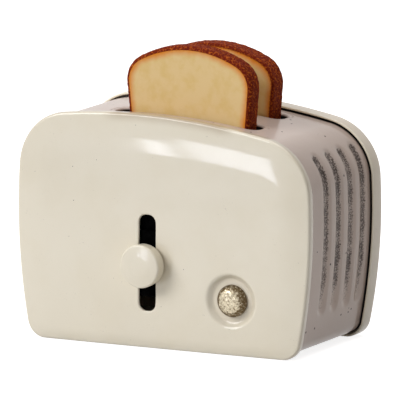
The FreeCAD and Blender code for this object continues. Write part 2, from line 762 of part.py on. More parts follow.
def make_spring():
    """The bowed friction strip, whose ends bear on the lips of the rails."""
    body = new_body("friction_spring")
    reach = "(slide_width / 2 - spring_end)"
    radius = "((%s ^ 2 + spring_bow ^ 2) / (2 * spring_bow))" % reach
    sketch = new_sketch(body, "BowProfile", "XY_Plane", "lever_height - spring_height / 2", "lever_slot_offset")
    centre = FreeCAD.Vector(0, value("spring_foot + spring_bow - " + radius), 0)
    inner = value(radius)
    outer = inner + value("spring_sheet")
    half_turn = math.asin(value(reach) / inner)
    unit_right = FreeCAD.Vector(math.sin(half_turn), math.cos(half_turn), 0)
    unit_left = FreeCAD.Vector(-unit_right.x, unit_right.y, 0)
    sketch.addGeometry(arc(centre, inner, centre + unit_right * inner, centre + unit_left * inner), False)
    sketch.addGeometry(Part.LineSegment(centre + unit_left * inner, centre + unit_left * outer), False)
    sketch.addGeometry(arc(centre, outer, centre + unit_right * outer, centre + unit_left * outer), False)
    sketch.addGeometry(Part.LineSegment(centre + unit_right * outer, centre + unit_right * inner), False)
    sketch.addConstraint(Sketcher.Constraint("Coincident", 0, 2, 1, 1))
    sketch.addConstraint(Sketcher.Constraint("Coincident", 1, 2, 2, 2))
    sketch.addConstraint(Sketcher.Constraint("Coincident", 2, 1, 3, 1))
    sketch.addConstraint(Sketcher.Constraint("Coincident", 3, 2, 0, 1))
    sketch.addConstraint(Sketcher.Constraint("Coincident", 0, 3, 2, 3))
    set_radius(sketch, 0, radius)
    set_radius(sketch, 2, radius + " + spring_sheet")
    set_point(sketch, 0, 3, "0", "spring_foot + spring_bow - " + radius)
    for vertex, sign in ((1, ""), (2, "-")):
        held = Sketcher.Constraint("DistanceX", -1, 1, 0, vertex, value(sign + reach))
        index = sketch.addConstraint(held)
        bind(sketch, "Constraints[%d]" % index, sign + reach)
    pad(body, "Bow", sketch, "spring_height")
    hole = new_sketch(body, "TailHole", "XZ_Plane", "-(web_front)")
    circle(hole, "lever_slot_offset", "lever_height", "stem_tail_diameter / 2 + pin_fit")
    pocket(body, "Hole", hole, "nut_back - web_front")
    return body


def make_stem_fasteners():
    """The washer and the hexagon nut on the tail of the stem."""
    bore = "stem_tail_diameter / 2 + pin_fit"
    washer = ring("stem_washer", "lever_slot_offset", "spring_top + layer_gap", "lever_height",
                  "washer_diameter / 2", bore, "washer_thickness")
    prism = doc.addObject("Part::Prism", "stem_nut_block")
    prism.Polygon = 6
    bind(prism, "Circumradius", "nut_flats / 2 / cos(30)")
    bind(prism, "Height", "nut_thickness")
    prism.Placement = FreeCAD.Placement(FreeCAD.Vector(), FreeCAD.Rotation(FreeCAD.Vector(1, 0, 0), -90))
    bind(prism, "Placement.Base.x", "lever_slot_offset")
    bind(prism, "Placement.Base.y", "nut_front")
    bind(prism, "Placement.Base.z", "lever_height")
    nut = cut("stem_nut", prism, cylinder("stem_nut_bore", "lever_slot_offset", "nut_front", "lever_height",
                                         bore, "nut_thickness"))
    return [washer, nut]


def make_posts():
    """Four posts from dish to dish, bored at the back for the rear screws."""
    posts = []
    for height, up in (("lower", "post_low"), ("upper", "post_high")):
        for side, across in (("left", "-post_offset"), ("right", "post_offset")):
            label = "tie_post_%s_%s" % (height, side)
            posts.append(turned_body(label, across, up, [
                ("0", "post_front"),
                ("post_diameter / 2", "post_front"),
                ("post_diameter / 2", "post_back"),
                ("rear_screw_diameter / 2 + pin_fit", "post_back"),
                ("rear_screw_diameter / 2 + pin_fit", "post_back - post_bore_depth"),
                ("0", "post_back - post_bore_depth"),
            ]))
    return posts


def make_rear_screws():
    """Four pan-head screws through the rear dish into the posts, each with a straight recess."""
    seat = "rear_plane + layer_gap"
    shapes = []
    for across in ("-post_offset", "post_offset"):
        for up in ("post_low", "post_high"):
            place = FreeCAD.Vector(value(across), value(seat), value(up))
            head = value("rear_screw_head_diameter / 2")
            rise = value("rear_screw_head_height")
            cap = Part.makeCylinder(head, rise, place, FreeCAD.Vector(0, 1, 0))
            rim = [edge for edge in cap.Edges if lies_at(edge, "Y", place.y + rise)]
            cap = cap.makeChamfer(rise / 2, rim)
            recess = Part.makeBox(2 * head, value("screw_recess_depth") + rise, value("screw_recess_width"))
            recess.translate(place + FreeCAD.Vector(-head, rise - value("screw_recess_depth"),
                                                    -value("screw_recess_width") / 2))
            length = value("rear_screw_length")
            shank = Part.makeCylinder(value("rear_screw_diameter / 2"), length,
                                      place - FreeCAD.Vector(0, length, 0), FreeCAD.Vector(0, 1, 0))
            shapes.append(cap.fuse(shank).cut(recess))
    screws = doc.addObject("Part::Feature", "rear_screws")
    screws.Shape = Part.makeCompound(shapes)
    screws.Label = "rear_screws"
    return screws


def make_base_plate():
    """The plate that closes the foot of the band, with a low rim at each side."""
    body = new_body("base_plate")
    sketch = new_sketch(body, "PlateOutline", "XY_Plane", "base_plate_bottom")
    front = "band_front + base_plate_gap"
    back = "band_back - base_plate_gap"
    rectangle(sketch, "-base_plate_width / 2", "base_plate_width / 2", front, back)
    for across in ("base_screw_offset", "-base_screw_offset"):
        for up in ("band_front + base_screw_inset", "band_back - base_screw_inset"):
            circle(sketch, across, up, "base_screw_diameter / 2 + pin_fit")
    pad(body, "Plate", sketch, "base_plate_sheet")
    rims = new_sketch(body, "RimOutline", "XY_Plane", "base_plate_bottom")
    rectangle(rims, "-base_plate_width / 2", "-base_plate_width / 2 + base_plate_sheet", front, back)
    rectangle(rims, "base_plate_width / 2 - base_plate_sheet", "base_plate_width / 2", front, back)
    pad(body, "Rims", rims, "base_plate_sheet + base_plate_rim")
    return body


def make_base_screws():
    """Four low screws from below, through the turned-in foot of the band and the base plate."""
    shapes = []
    up = FreeCAD.Vector(0, 0, 1)
    for across in (-value("base_screw_offset"), value("base_screw_offset")):
        for along in (value("band_front + base_screw_inset"), value("band_back - base_screw_inset")):
            seat = value("band_inset - layer_gap")
            rise = value("base_screw_head_height")
            low = FreeCAD.Vector(across, along, seat - rise)
            head = Part.makeCylinder(value("base_screw_head_diameter / 2"), rise, low, up)
            shank = Part.makeCylinder(value("base_screw_diameter / 2"), rise + value("base_screw_length"), low, up)
            shapes.append(head.fuse(shank))
    screws = doc.addObject("Part::Feature", "base_screws")
    screws.Shape = Part.makeCompound(shapes)
    screws.Label = "base_screws"
    return screws


# Bread

def make_slice(label, across, along, height):
    """One toy slice: flaring sides, rounded shoulders and a domed top, its edges eased."""
    body = new_body(label)
    sketch = new_sketch(body, "SliceOutline", "XZ_Plane", "-(%s - slice_thickness / 2)" % along, across)
    floor = value("slice_floor")
    foot = FreeCAD.Vector(value("slice_base_width / 2"), floor, 0)
    widest = FreeCAD.Vector(value("slice_widest / 2"), floor + value("slice_widest_height"), 0)
    dome_radius = value("slice_dome_radius")
    corner_radius = value("slice_corner_radius")
    dome = FreeCAD.Vector(0, floor + value(height) - dome_radius, 0)
    heading = (widest - foot).normalize()
    inward = FreeCAD.Vector(-heading.y, heading.x, 0)
    start = foot + inward * corner_radius - dome
    along_line = start.dot(heading)
    reach = dome_radius - corner_radius
    distance = -along_line + math.sqrt(along_line ** 2 - start.Length ** 2 + reach ** 2)
    corner = dome + start + heading * distance
    shoulder = corner - inward * corner_radius
    crest = dome + (corner - dome).normalize() * dome_radius
    edges = [
        arc(dome, dome_radius, crest, mirrored(crest)),
        arc(mirrored(corner), corner_radius, mirrored(crest), mirrored(shoulder)),
        Part.LineSegment(mirrored(shoulder), mirrored(foot)),
        Part.LineSegment(mirrored(foot), foot),
        Part.LineSegment(foot, shoulder),
        arc(corner, corner_radius, shoulder, crest),
    ]
    for edge in edges:
        sketch.addGeometry(edge, False)
    guide = sketch.addGeometry(Part.Point(widest), True)
    for index in (0, 1, 4, 5):
        sketch.addConstraint(Sketcher.Constraint("Tangent", index, 2, (index + 1) % 6, 1))
    for index in (2, 3):
        sketch.addConstraint(Sketcher.Constraint("Coincident", index, 2, index + 1, 1))
    set_radius(sketch, 0, "slice_dome_radius")
    set_radius(sketch, 5, "slice_corner_radius")
    set_point(sketch, 0, 3, "0", "slice_floor + %s - slice_dome_radius" % height)
    set_point(sketch, 3, 1, "-slice_base_width / 2", "slice_floor")
    set_point(sketch, 3, 2, "slice_base_width / 2", "slice_floor")
    set_point(sketch, guide, 1, "slice_widest / 2", "slice_floor + slice_widest_height")
    sketch.addConstraint(Sketcher.Constraint("PointOnObject", guide, 1, 4))
    sketch.addConstraint(Sketcher.Constraint("Symmetric", 4, 2, 2, 1, -2))
    block = pad(body, "Slice", sketch, "slice_thickness", backward=True)
    faces = (value("%s - slice_thickness / 2" % along), value("%s + slice_thickness / 2" % along))
    doc.recompute()
    eased = body.newObject("PartDesign::Chamfer", "EasedEdges")
    eased.Base = (block, edge_names(block.Shape, lambda edge: any(lies_at(edge, "Y", face) for face in faces)))
    bind(eased, "Size", "slice_edge")
    return body


# Build, check and write

pieces = [make_front_panel(), make_rear_panel(), make_body_band()]
pieces += make_dial()
pieces += [make_knob(), make_stem(), make_slide_plate()]
pieces += [make_rail("guide_rail_left", -1), make_rail("guide_rail_right", 1)]
pieces += [make_carriage(), make_spring()]
pieces += make_stem_fasteners()
pieces += make_posts()
pieces += [make_rear_screws(), make_base_plate(), make_base_screws()]
pieces.append(make_slice("bread_slice_front", "front_slice_offset", "front_slot_y", "front_slice_height"))
pieces.append(make_slice("bread_slice_rear", "rear_slice_offset", "rear_slot_y", "rear_slice_height"))
doc.recompute()

for item in doc.Objects:
    if "Invalid" in item.State or "Error" in item.State:
        raise RuntimeError("%s did not recompute: %s" % (item.Label, item.State))
for piece in pieces:
    shape = piece.Shape
    if shape.isNull() or not shape.isValid() or not shape.Solids:
        raise RuntimeError("%s has no valid solid" % piece.Label)

os.makedirs("parts", exist_ok=True)
for piece in pieces:
    piece.Shape.exportStep("parts/%s.step" % piece.Label)
    print("%-24s %d solid(s), %.2f mm3" % (piece.Label, len(piece.Shape.Solids), piece.Shape.Volume))
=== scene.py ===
import math

import bpy
import numpy as np
from mathutils import Matrix, Vector


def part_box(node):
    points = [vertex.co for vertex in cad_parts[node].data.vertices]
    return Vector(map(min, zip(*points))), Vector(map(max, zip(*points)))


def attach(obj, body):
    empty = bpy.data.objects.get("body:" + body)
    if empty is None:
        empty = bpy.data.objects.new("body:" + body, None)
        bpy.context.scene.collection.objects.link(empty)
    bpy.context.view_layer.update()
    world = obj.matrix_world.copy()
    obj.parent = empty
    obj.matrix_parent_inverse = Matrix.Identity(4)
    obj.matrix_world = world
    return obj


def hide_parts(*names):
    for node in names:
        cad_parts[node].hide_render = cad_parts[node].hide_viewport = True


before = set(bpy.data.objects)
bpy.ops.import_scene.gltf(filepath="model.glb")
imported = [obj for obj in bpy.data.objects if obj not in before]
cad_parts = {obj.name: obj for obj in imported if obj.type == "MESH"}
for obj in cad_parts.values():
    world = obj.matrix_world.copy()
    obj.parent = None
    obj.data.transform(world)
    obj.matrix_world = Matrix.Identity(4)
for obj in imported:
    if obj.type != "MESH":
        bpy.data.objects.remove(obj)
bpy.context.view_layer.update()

bl_info = {
    "name": "Toy Toaster",
    "version": (1, 0, 0),
    "blender": (4, 5, 0),
    "location": "3D View > Sidebar > Toaster",
    "description": "An enamelled tin toy toaster with two slices, dressed over its solid model",
    "category": "Object",
}

FRONT_LOW, FRONT_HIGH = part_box("front_panel")
REAR_LOW, REAR_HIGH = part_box("rear_panel")
BAND_LOW, BAND_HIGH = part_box("body_band")
KNOB_LOW, KNOB_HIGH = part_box("lever_knob")
RIVET_LOW, RIVET_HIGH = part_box("dial_rivet")
MM = 0.001
MIRROR = np.array((-1.0, 1.0))
DOWN = (0.0, -1.0)
QUARTER = math.pi / 2
WHITE = (1.0, 1.0, 1.0, 1.0)

# Rows of the grids, from the middle of a face to its border, round a bend and over a rim
FRONT_FACE_ROWS, FRONT_BACK_ROWS, FRONT_RIM_ROWS = 106, 26, 9
REAR_FACE_ROWS, REAR_BACK_ROWS, REAR_RIM_ROWS = 92, 22, 7
SHOULDER_ROWS = 12
SLICE_FACE_ROWS, SLICE_EDGE_ROWS, SLICE_SIDE_ROWS = 42, 8, 14
BAND_STEPS = 150

# Small sizes in metres that the sidebar leaves out
SLOT_ROUND = 0.0003
DIMPLE_CONE = 0.00012
DIMPLE_RIM = 0.5 * MM
SCREW_SEAT, SCREW_SEAT_END = 0.0025, 0.0042
SCREW_INSET = 0.002
SLICE_TOE = 0.0007
DEEP_CRUMB = 0.012
LIP_BEND = 0.0006
SLOT_CLEARANCE = 0.0009
DENT_DEPTH = 0.00005
TUCK = (0.0022, 0.0004)

# Where painted light starts and is full, in metres: painted shade and a painted toast reflection
# behind the front plane on the front dish, that reflection's reach from the middle of the toast, a
# painted highlight before the rear dish's rim, and painted shade under the two rims on the band
FLANGE_SHADE = (0.00075, 0.00125)
ROLL_REFLECTION = (0.00048, 0.0009)
TOAST_REACH = (0.010, 0.0145)
RIM_HIGHLIGHT = (0.00005, 0.00025)
REAR_GAP_SHADE, FRONT_GAP_SHADE = 0.0003, 0.0001

# The stage, in metres
AIM_HEIGHT = 0.025
FLOOR_SIDE, FLOOR_FRONT, FLOOR_BACK, FLOOR_LEVEL = 1.6, -0.15, 1.8, -0.00002


def length(name, description, default, smallest=0.0):
    """A length in metres for the sidebar."""
    return bpy.props.FloatProperty(name=name, description=description, default=default, min=smallest,
                                   unit="LENGTH", subtype="DISTANCE", precision=5)


def place(name, description, default):
    """A coordinate in metres for the sidebar."""
    return bpy.props.FloatProperty(name=name, description=description, default=default,
                                   unit="LENGTH", subtype="DISTANCE", precision=5)


def share(name, description, default):
    """A factor from nothing to all for the sidebar."""
    return bpy.props.FloatProperty(name=name, description=description, default=default,
                                   min=0.0, max=1.0, subtype="FACTOR")


def colour(name, description, default):
    """A linear colour for the sidebar."""
    return bpy.props.FloatVectorProperty(name=name, description=description, default=default,
                                         size=3, min=0.0, max=1.0, subtype="COLOR")


class CaseSizes(bpy.types.PropertyGroup):
    """Sizes of the pressed dishes and of the band between them."""

    width: length("Width", "Width of both dishes", FRONT_HIGH.x - FRONT_LOW.x)
    height: length("Height", "Height of both dishes", FRONT_HIGH.z - FRONT_LOW.z)
    top_radius: length("Top Arch", "Radius of the shallow arch on top", 0.1328)
    side_radius: length("Side Bow", "Radius of the bowed sides", 0.1157)
    side_height: place("Widest Height", "Height at which the dishes are widest", 0.0241)
    high_corner: length("High Corner", "Radius of the two upper corners", 0.01065)
    low_corner: length("Low Corner", "Radius of the two lower corners", 0.0037)
    taper: share("Taper", "How much taller the left end is than the middle", 0.034)
    lean: place("Lean", "How far the case leans to the right from its middle to its top", 0.00048)
    narrowing: share("Narrowing", "Share of the width that is left inside the leaning case", 0.997)
    front: place("Front Plane", "Where the front dish is highest", FRONT_LOW.y)
    rear: place("Rear Plane", "Where the rear dish is highest", REAR_HIGH.y)
    front_flange: length("Front Flange", "Depth of the front dish", FRONT_HIGH.y - FRONT_LOW.y)
    rear_flange: length("Rear Flange", "Depth of the rear dish", REAR_HIGH.y - REAR_LOW.y)
    sheet: length("Sheet", "Thickness of the dishes", 0.00045)
    hem: length("Hem", "Thickness of the folded rim of the front dish", 0.0007)
    shoulder: length("Shoulder", "Radius of the rolled edge", 0.00045)
    edge_fall: length("Edge Fall", "How far the face falls towards its edge", 0.00050)
    edge_zone: length("Edge Zone", "How wide the falling border of the face is", 0.0072)
    foot_zone: length("Foot Zone", "How wide the falling border is along the foot", 0.0024)
    crown: length("Crown", "How far the whole face is domed", 0.00055)
    band_inset: length("Band Inset", "How far the band lies inside the outline", 0.00075)
    band_sheet: length("Band Sheet", "Thickness of the band", 0.00035)
    band_tuck: length("Band Tuck", "How much further in the band runs under the rear dish", 0.00012)
    band_front: place("Band Front", "Front end of the band, under the front dish", BAND_LOW.y + 0.0008)
    band_rear: place("Band Rear", "Rear end of the band, under the rear dish", BAND_HIGH.y - 0.0008)
    foot_opening: length("Foot Opening", "Width of the opening underneath", 0.034)


class PressingSizes(bpy.types.PropertyGroup):
    """Sizes of the slots, the grooves and the dimple that are pressed into the sheet."""

    lever_slot_x: place("Lever Slot", "Middle of the lever slot across the front", -0.0028)
    lever_slot_z: place("Lever Slot Height", "Middle of the lever slot above the floor", 0.0157)
    lever_slot_width: length("Lever Slot Width", "Width of the lever slot", 0.0034)
    lever_slot_length: length("Lever Slot Length", "Length of the lever slot", 0.0175)
    lever_slot_corner: length("Lever Slot Corner", "Radius at the ends of the lever slot", 0.00145)
    dimple_x: place("Dimple", "Middle of the dimple across the front", 0.0142)
    dimple_z: place("Dimple Height", "Middle of the dimple above the floor", 0.01005)
    dimple_radius: length("Dimple Radius", "Radius of the dimple's mouth", 0.0052)
    dimple_floor: length("Dimple Floor", "Radius of the dimple's flat floor", 0.0039)
    dimple_depth: length("Dimple Depth", "Depth of the dimple below the front plane", 0.0010)
    groove_count: bpy.props.IntProperty(name="Grooves", description="Grooves in each side",
                                        default=4, min=1)
    groove_first: length("First Groove", "Front plane to the middle of the first groove", 0.00895)
    groove_pitch: length("Groove Pitch", "Distance between two grooves", 0.00460)
    groove_width: length("Groove Width", "Width of a groove's mouth", 0.0036)
    groove_depth: length("Groove Depth", "Depth of a groove", 0.00045)
    groove_low: place("Groove Foot", "Height at which the grooves start", 0.0088)
    groove_high: place("Groove Head", "Height at which the grooves end", 0.0363)
    bread_slot_length: length("Bread Slot Length", "Length of each bread slot", 0.0292)
    bread_slot_width: length("Bread Slot Width", "Width of each bread slot", 0.0046)
    bread_slot_corner: length("Bread Slot Corner", "Radius at the ends of a bread slot", 0.0018)
    bread_lip: length("Slot Lip", "Depth of the lip turned down round a bread slot", 0.0024)
    front_slot_x: place("Front Bread Slot", "Middle of the front bread slot across", 0.0012)
    front_slot_y: place("Front Bread Slot Depth", "Middle of the front bread slot from front to back",
                        FRONT_LOW.y + 0.0093)
    rear_slot_x: place("Rear Bread Slot", "Middle of the rear bread slot across", 0.0001)
    rear_slot_y: place("Rear Bread Slot Depth", "Middle of the rear bread slot from front to back",
                       FRONT_LOW.y + 0.0204)


class BreadSizes(bpy.types.PropertyGroup):
    """Sizes of the two toy slices."""

    base_width: length("Base Width", "Width of a slice at its foot", 0.0222)
    widest: length("Widest", "Width of a slice below its shoulders", 0.0259)
    widest_height: length("Widest Height", "Height of that width above the foot", 0.0194)
    dome_radius: length("Dome", "Radius of the domed top", 0.0220)
    corner_radius: length("Shoulder", "Radius of the shoulders", 0.0051)
    front_edge: length("Front Slice Edge", "Radius of the front slice's eased edges", 0.0008)
    rear_edge: length("Rear Slice Edge", "Radius of the rear slice's eased edges", 0.0003)
    crust_grain: length("Crust Grain", "Height of the crust's unevenness", 0.00007)


class Finishes(bpy.types.PropertyGroup):
    """Colours and wear of the finishes."""

    enamel: colour("Enamel", "Cream enamel of the front dish, the base plate and the knob",
                   (0.790, 0.722, 0.588))
    band_enamel: colour("Band Enamel", "Greyer enamel of the band", (0.560, 0.452, 0.392))
    patina: colour("Patina", "Dark colour in the grooves and along worn edges", (0.062, 0.043, 0.035))
    rivet: colour("Rivet", "Bare metal of the dial rivet", (0.520, 0.455, 0.335))
    tarnish: colour("Tarnish", "Dark tarnish on bare metal", (0.110, 0.074, 0.036))
    crumb: colour("Crumb", "Pale inside of the bread", (0.820, 0.600, 0.295))
    toasted: colour("Toasted", "Orange band inside the crust", (0.740, 0.235, 0.022))
    crust: colour("Crust", "Dark red-brown crust", (0.150, 0.014, 0.006))
    crust_light: colour("Crust Light", "Orange grains of the crust", (0.620, 0.140, 0.015))
    # Painted light: brown shade down the front dish's flange and a brown reflection of the toast over
    # its top edge.
    shade_and_toast_reflection: colour("Shade And Toast Reflection", "Painted shade down the flange and painted reflection of the toast on the top edge",
                   (0.400, 0.300, 0.190))
    rear_enamel: colour("Rear Enamel", "Browner enamel of the rear dish", (0.755, 0.665, 0.545))
    # Painted highlight: a pale colour along the rim of the rear dish's sheet.
    rim_highlight: colour("Rim Highlight", "Painted highlight along the rim of the rear dish's sheet", (0.930, 0.860, 0.700))
    groove_patina: share("Groove Patina", "How much patina lies in the grooves", 0.86)
    edge_wear: share("Edge Wear", "How worn the pressed edges are", 0.10)


class StageSettings(bpy.types.PropertyGroup):
    """Camera, floor and light."""

    azimuth: bpy.props.FloatProperty(name="Azimuth", description="Camera's turn round the toaster",
                                     default=math.radians(29.198), subtype="ANGLE")
    elevation: bpy.props.FloatProperty(name="Elevation", description="Camera's height as an angle",
                                       default=math.radians(10.228), subtype="ANGLE")
    roll: bpy.props.FloatProperty(name="Roll", description="Camera's turn about its own line of sight",
                                  default=math.radians(-0.7916), subtype="ANGLE")
    distance: length("Distance", "Camera to the front plane", 1.5)
    aim_right: place("Aim Right", "Picture centre to the right of the aimed point", 0.0072114)
    aim_up: place("Aim Up", "Picture centre above the aimed point", 0.0023538)
    lens: bpy.props.FloatProperty(name="Lens", default=755.4, min=1.0,
                                  description="Focal length in millimetres on a 36 mm sensor")


# Shapes

def arc_run(centre, radius, start, end, count):
    """Arc: the centre plus the radius times the unit vector of evenly spaced angles. Returns the
    points and the unit vectors, which point outwards; the last angle is left to the next run."""
    angle = np.linspace(start, end, count, endpoint=False)
    outward = np.stack((np.cos(angle), np.sin(angle)), 1)
    return np.asarray(centre) + radius * outward, outward


def line_run(start, end, outward, count):
    """Straight run: even steps from one point to another, all with one outward direction."""
    step = np.linspace(0.0, 1.0, count, endpoint=False)[:, None]
    points = np.asarray(start) + step * (np.asarray(end) - np.asarray(start))
    return points, np.tile(np.asarray(outward, float), (count, 1))


def joined(runs):
    """Points and normals of several runs, one after the other."""
    points, normals = zip(*runs)
    return np.concatenate(points), np.concatenate(normals)


def raised(flat, level):
    """Points of a flat outline, as across and up, set at a depth each or at one for all."""
    return np.stack((flat[:, 0], np.broadcast_to(level, len(flat)), flat[:, 1]), 1)


def outline_frame(case):
    """Centres and angles of the right half of the outline: a corner's centre lies where two
    circles meet, each drawn with its own radius less the corner's."""
    top = np.array((0.0, case.height - case.top_radius))
    side = np.array((case.width / 2 - case.side_radius, case.side_height))
    reach_top = case.top_radius - case.high_corner
    reach_side = case.side_radius - case.high_corner
    between = side - top
    span = math.hypot(*between)
    along = (reach_top ** 2 - reach_side ** 2 + span ** 2) / (2 * span)
    aside = math.sqrt(reach_top ** 2 - along ** 2)
    unit = between / span
    options = [top + unit * along + np.array((-unit[1], unit[0])) * aside,
               top + unit * along - np.array((-unit[1], unit[0])) * aside]
    high = max(options, key=lambda point: point[0])
    reach_low = case.side_radius - case.low_corner
    drop = case.side_height - case.low_corner
    low = np.array((side[0] + math.sqrt(reach_low ** 2 - drop ** 2), case.low_corner))
    crown = math.atan2(*(high - top)[::-1])
    shoulder = math.atan2(*(high - side)[::-1])
    ankle = math.atan2(*(low - side)[::-1])
    return top, side, high, low, crown, shoulder, ankle


def outline_runs(case, corner, side_count, shoulder_count, arch):
    """Runs of the outline from the right heel over the arch to the left heel, with a count of
    points for each: a small corner, a bowed side, a large corner, the arch, and their mirror."""
    top, side, high, low, crown, shoulder, ankle = outline_frame(case)
    return [
        arc_run(low, case.low_corner, -QUARTER, ankle, corner),
        arc_run(side, case.side_radius, ankle, shoulder, side_count),
        arc_run(high, case.high_corner, shoulder, crown, shoulder_count),
        arc_run(top, case.top_radius, crown, math.pi - crown, arch),
        arc_run(high * MIRROR, case.high_corner, math.pi - crown, math.pi - shoulder, shoulder_count),
        arc_run(side * MIRROR, case.side_radius, math.pi - shoulder, math.pi - ankle, side_count),
        arc_run(low * MIRROR, case.low_corner, math.pi - ankle, math.pi + QUARTER, corner),
    ]


def case_outline(case):
    """Closed outline of the dishes, counterclockwise from the left heel: a flat foot, and then the
    outline's runs. An inset outline is the points less the inset times the normals."""
    heel = outline_frame(case)[3][0]
    foot = line_run((-heel, 0.0), (heel, 0.0), DOWN, 92)
    return joined([foot] + outline_runs(case, 26, 88, 40, 104))


def rounded_slot(half_width, half_height, corner, angle):
    """Rounded rectangle as a function of the ray's angle from its centre: the nearer of the side
    and the end, or the far crossing with the corner's circle between them."""
    ray = np.stack((np.cos(angle), np.sin(angle)), 1)
    across, up = np.abs(ray[:, 0]) + 1e-12, np.abs(ray[:, 1]) + 1e-12
    to_side, to_end = half_width / across, half_height / up
    on_side = to_side * up <= half_height - corner
    on_end = to_end * across <= half_width - corner
    centre = np.array((half_width - corner, half_height - corner))
    projected = across * centre[0] + up * centre[1]
    under = np.maximum(projected ** 2 - (centre ** 2).sum() + corner ** 2, 0.0)
    reach = np.where(on_side, to_side, np.where(on_end, to_end, projected + np.sqrt(under)))
    points = ray * reach[:, None]
    from_corner = (np.abs(points) - centre) / corner
    normal = np.where(on_end[:, None], [[0.0, 1.0]], from_corner)
    normal = np.where(on_side[:, None], [[1.0, 0.0]], normal)
    return points, normal * np.sign(ray)


def bread_slot_ring(press, grow, count):
    """Outline of a bread slot about its middle, grown by a margin: rays whose angles are spread
    with the slot's own proportions."""
    half_length, half_width = press.bread_slot_length / 2 + grow, press.bread_slot_width / 2 + grow
    angle = np.linspace(0.0, 2 * math.pi, count, endpoint=False)
    stretched = np.arctan2(np.sin(angle) * half_width, np.cos(angle) * half_length)
    return rounded_slot(half_length, half_width, press.bread_slot_corner + grow, stretched)


def settled(case, vertices):
    """Lean and taper the pressed case: the middle height stays above the floor's middle, the
    height grows to the left and shrinks to the right in step with the place across."""
    across, up = vertices[:, 0] * case.narrowing, vertices[:, 2]
    middle = case.height / 2
    moved = vertices.copy()
    moved[:, 0] = across + case.lean * (up / middle - 1.0)
    moved[:, 2] = up * (1.0 - case.taper * across / (case.width / 2))
    return moved


def unsettled(case, across, up):
    """The place before leaning and tapering that ends up at a given place, by repeated steps."""
    x, z = across, up
    for _ in range(12):
        there = settled(case, np.array(((x, 0.0, z),)))[0]
        x, z = x + across - there[0], z + up - there[2]
    return np.array((x, z))


def smooth(low, high, number):
    """Smooth step: three times the square less twice the cube of the clipped share."""
    part = np.clip((number - low) / (high - low), 0.0, 1.0)
    return part * part * (3.0 - 2.0 * part)


def border_distance(case, x, z):
    """Distance from the arch, the upper corners and the bowed sides: a circle's radius less the
    distance from its centre, taken from the corner's circle inside the corner's own angle."""
    top, side, high, _, crown, shoulder, _ = outline_frame(case)
    right = np.abs(x)
    from_top = case.top_radius - np.hypot(right - top[0], z - top[1])
    from_side = case.side_radius - np.hypot(right - side[0], z - side[1])
    turn = np.arctan2(z - high[1], right - high[0])
    from_corner = case.high_corner - np.hypot(right - high[0], z - high[1])
    in_corner = (turn >= shoulder) & (turn <= crown)
    return np.where(in_corner, from_corner, np.minimum(from_top, from_side))


def pillow(case, flat):
    """Fall of a dish's face from its highest plane: a shallow dome plus a border that falls with
    the square of the share of its width, the foot's border multiplied with the arch's."""
    x, z = flat.T
    arch = np.clip(border_distance(case, x, z) / case.edge_zone, 0.0, 1.0)
    foot = np.clip(z / case.foot_zone, 0.0, 1.0)
    level = (1.0 - (1.0 - arch) ** 2) * (1.0 - (1.0 - foot) ** 2)
    middle = case.height / 2
    dome = (x / (case.width / 2)) ** 2 * 0.5 + ((z - middle) / middle) ** 2 * 0.5
    return case.edge_fall * (1.0 - level) + case.crown * dome


def distance(flat, middle):
    """Distance of flat points from one point."""
    return np.hypot(flat[:, 0] - middle[0], flat[:, 1] - middle[1])


def dimpled(case, press, flat):
    """Depth of the front face: the pillow, run over smoothly into the floor of the dial's dimple,
    which is a shallow cone."""
    away = distance(flat, unsettled(case, press.dimple_x, press.dimple_z))
    sunk = 1.0 - smooth(press.dimple_floor, press.dimple_radius, away)
    floor = press.dimple_depth - DIMPLE_CONE * np.clip(1.0 - away / press.dimple_floor, 0.0, 1.0)
    return pillow(case, flat) * (1.0 - sunk) + floor * sunk


def shoulder_rows(points, normals, depth_at, sign, plane, radius):
    """Quarter round from face to flange. With an angle from nought to a right angle, the inset is
    the radius less its sine share and the depth grows by the radius less its cosine share."""
    rows = []
    for angle in np.linspace(0.0, QUARTER, SHOULDER_ROWS):
        flat = points - normals * (radius * (1.0 - math.sin(angle)))
        depth = depth_at(flat) + radius * (1.0 - math.cos(angle))
        rows.append(raised(flat, plane + sign * depth))
    return rows


def rim_rows(points, normals, rim, wall, sign, count):
    """Half round over the rim: the inset and the depth follow a half circle as thick as the wall."""
    radius = wall / 2
    return [raised(points - normals * (radius * (1.0 - math.cos(angle))),
                   rim - sign * radius * (1.0 - math.sin(angle)))
            for angle in np.linspace(0.0, math.pi, count)]


def sheet_rows(start, end, depth_at, sign, plane, steps):
    """Ruled rows between two closed curves, each point set to the depth of the face there."""
    rows = []
    for step in steps:
        flat = start + (end - start) * step
        rows.append(raised(flat, plane + sign * depth_at(flat)))
    return rows


def ring_faces(rows, columns, closed_rows):
    """Quads of a grid whose columns run round, and whose rows also do when closed_rows is true."""
    row = np.arange(rows if closed_rows else rows - 1)[:, None]
    column = np.arange(columns)[None, :]
    next_row = (row + 1) % rows
    next_column = (column + 1) % columns
    quads = np.stack((row * columns + column, row * columns + next_column,
                      next_row * columns + next_column, next_row * columns + column), -1)
    return quads.reshape(-1, 4)


def fan_faces(ring_start, columns, pole, backward):
    """Triangles from a ring of vertices to one pole."""
    column = np.arange(columns)
    following = (column + 1) % columns
    first = ring_start + (following if backward else column)
    second = ring_start + (column if backward else following)
    return np.stack((first, second, np.full(columns, pole)), 1)


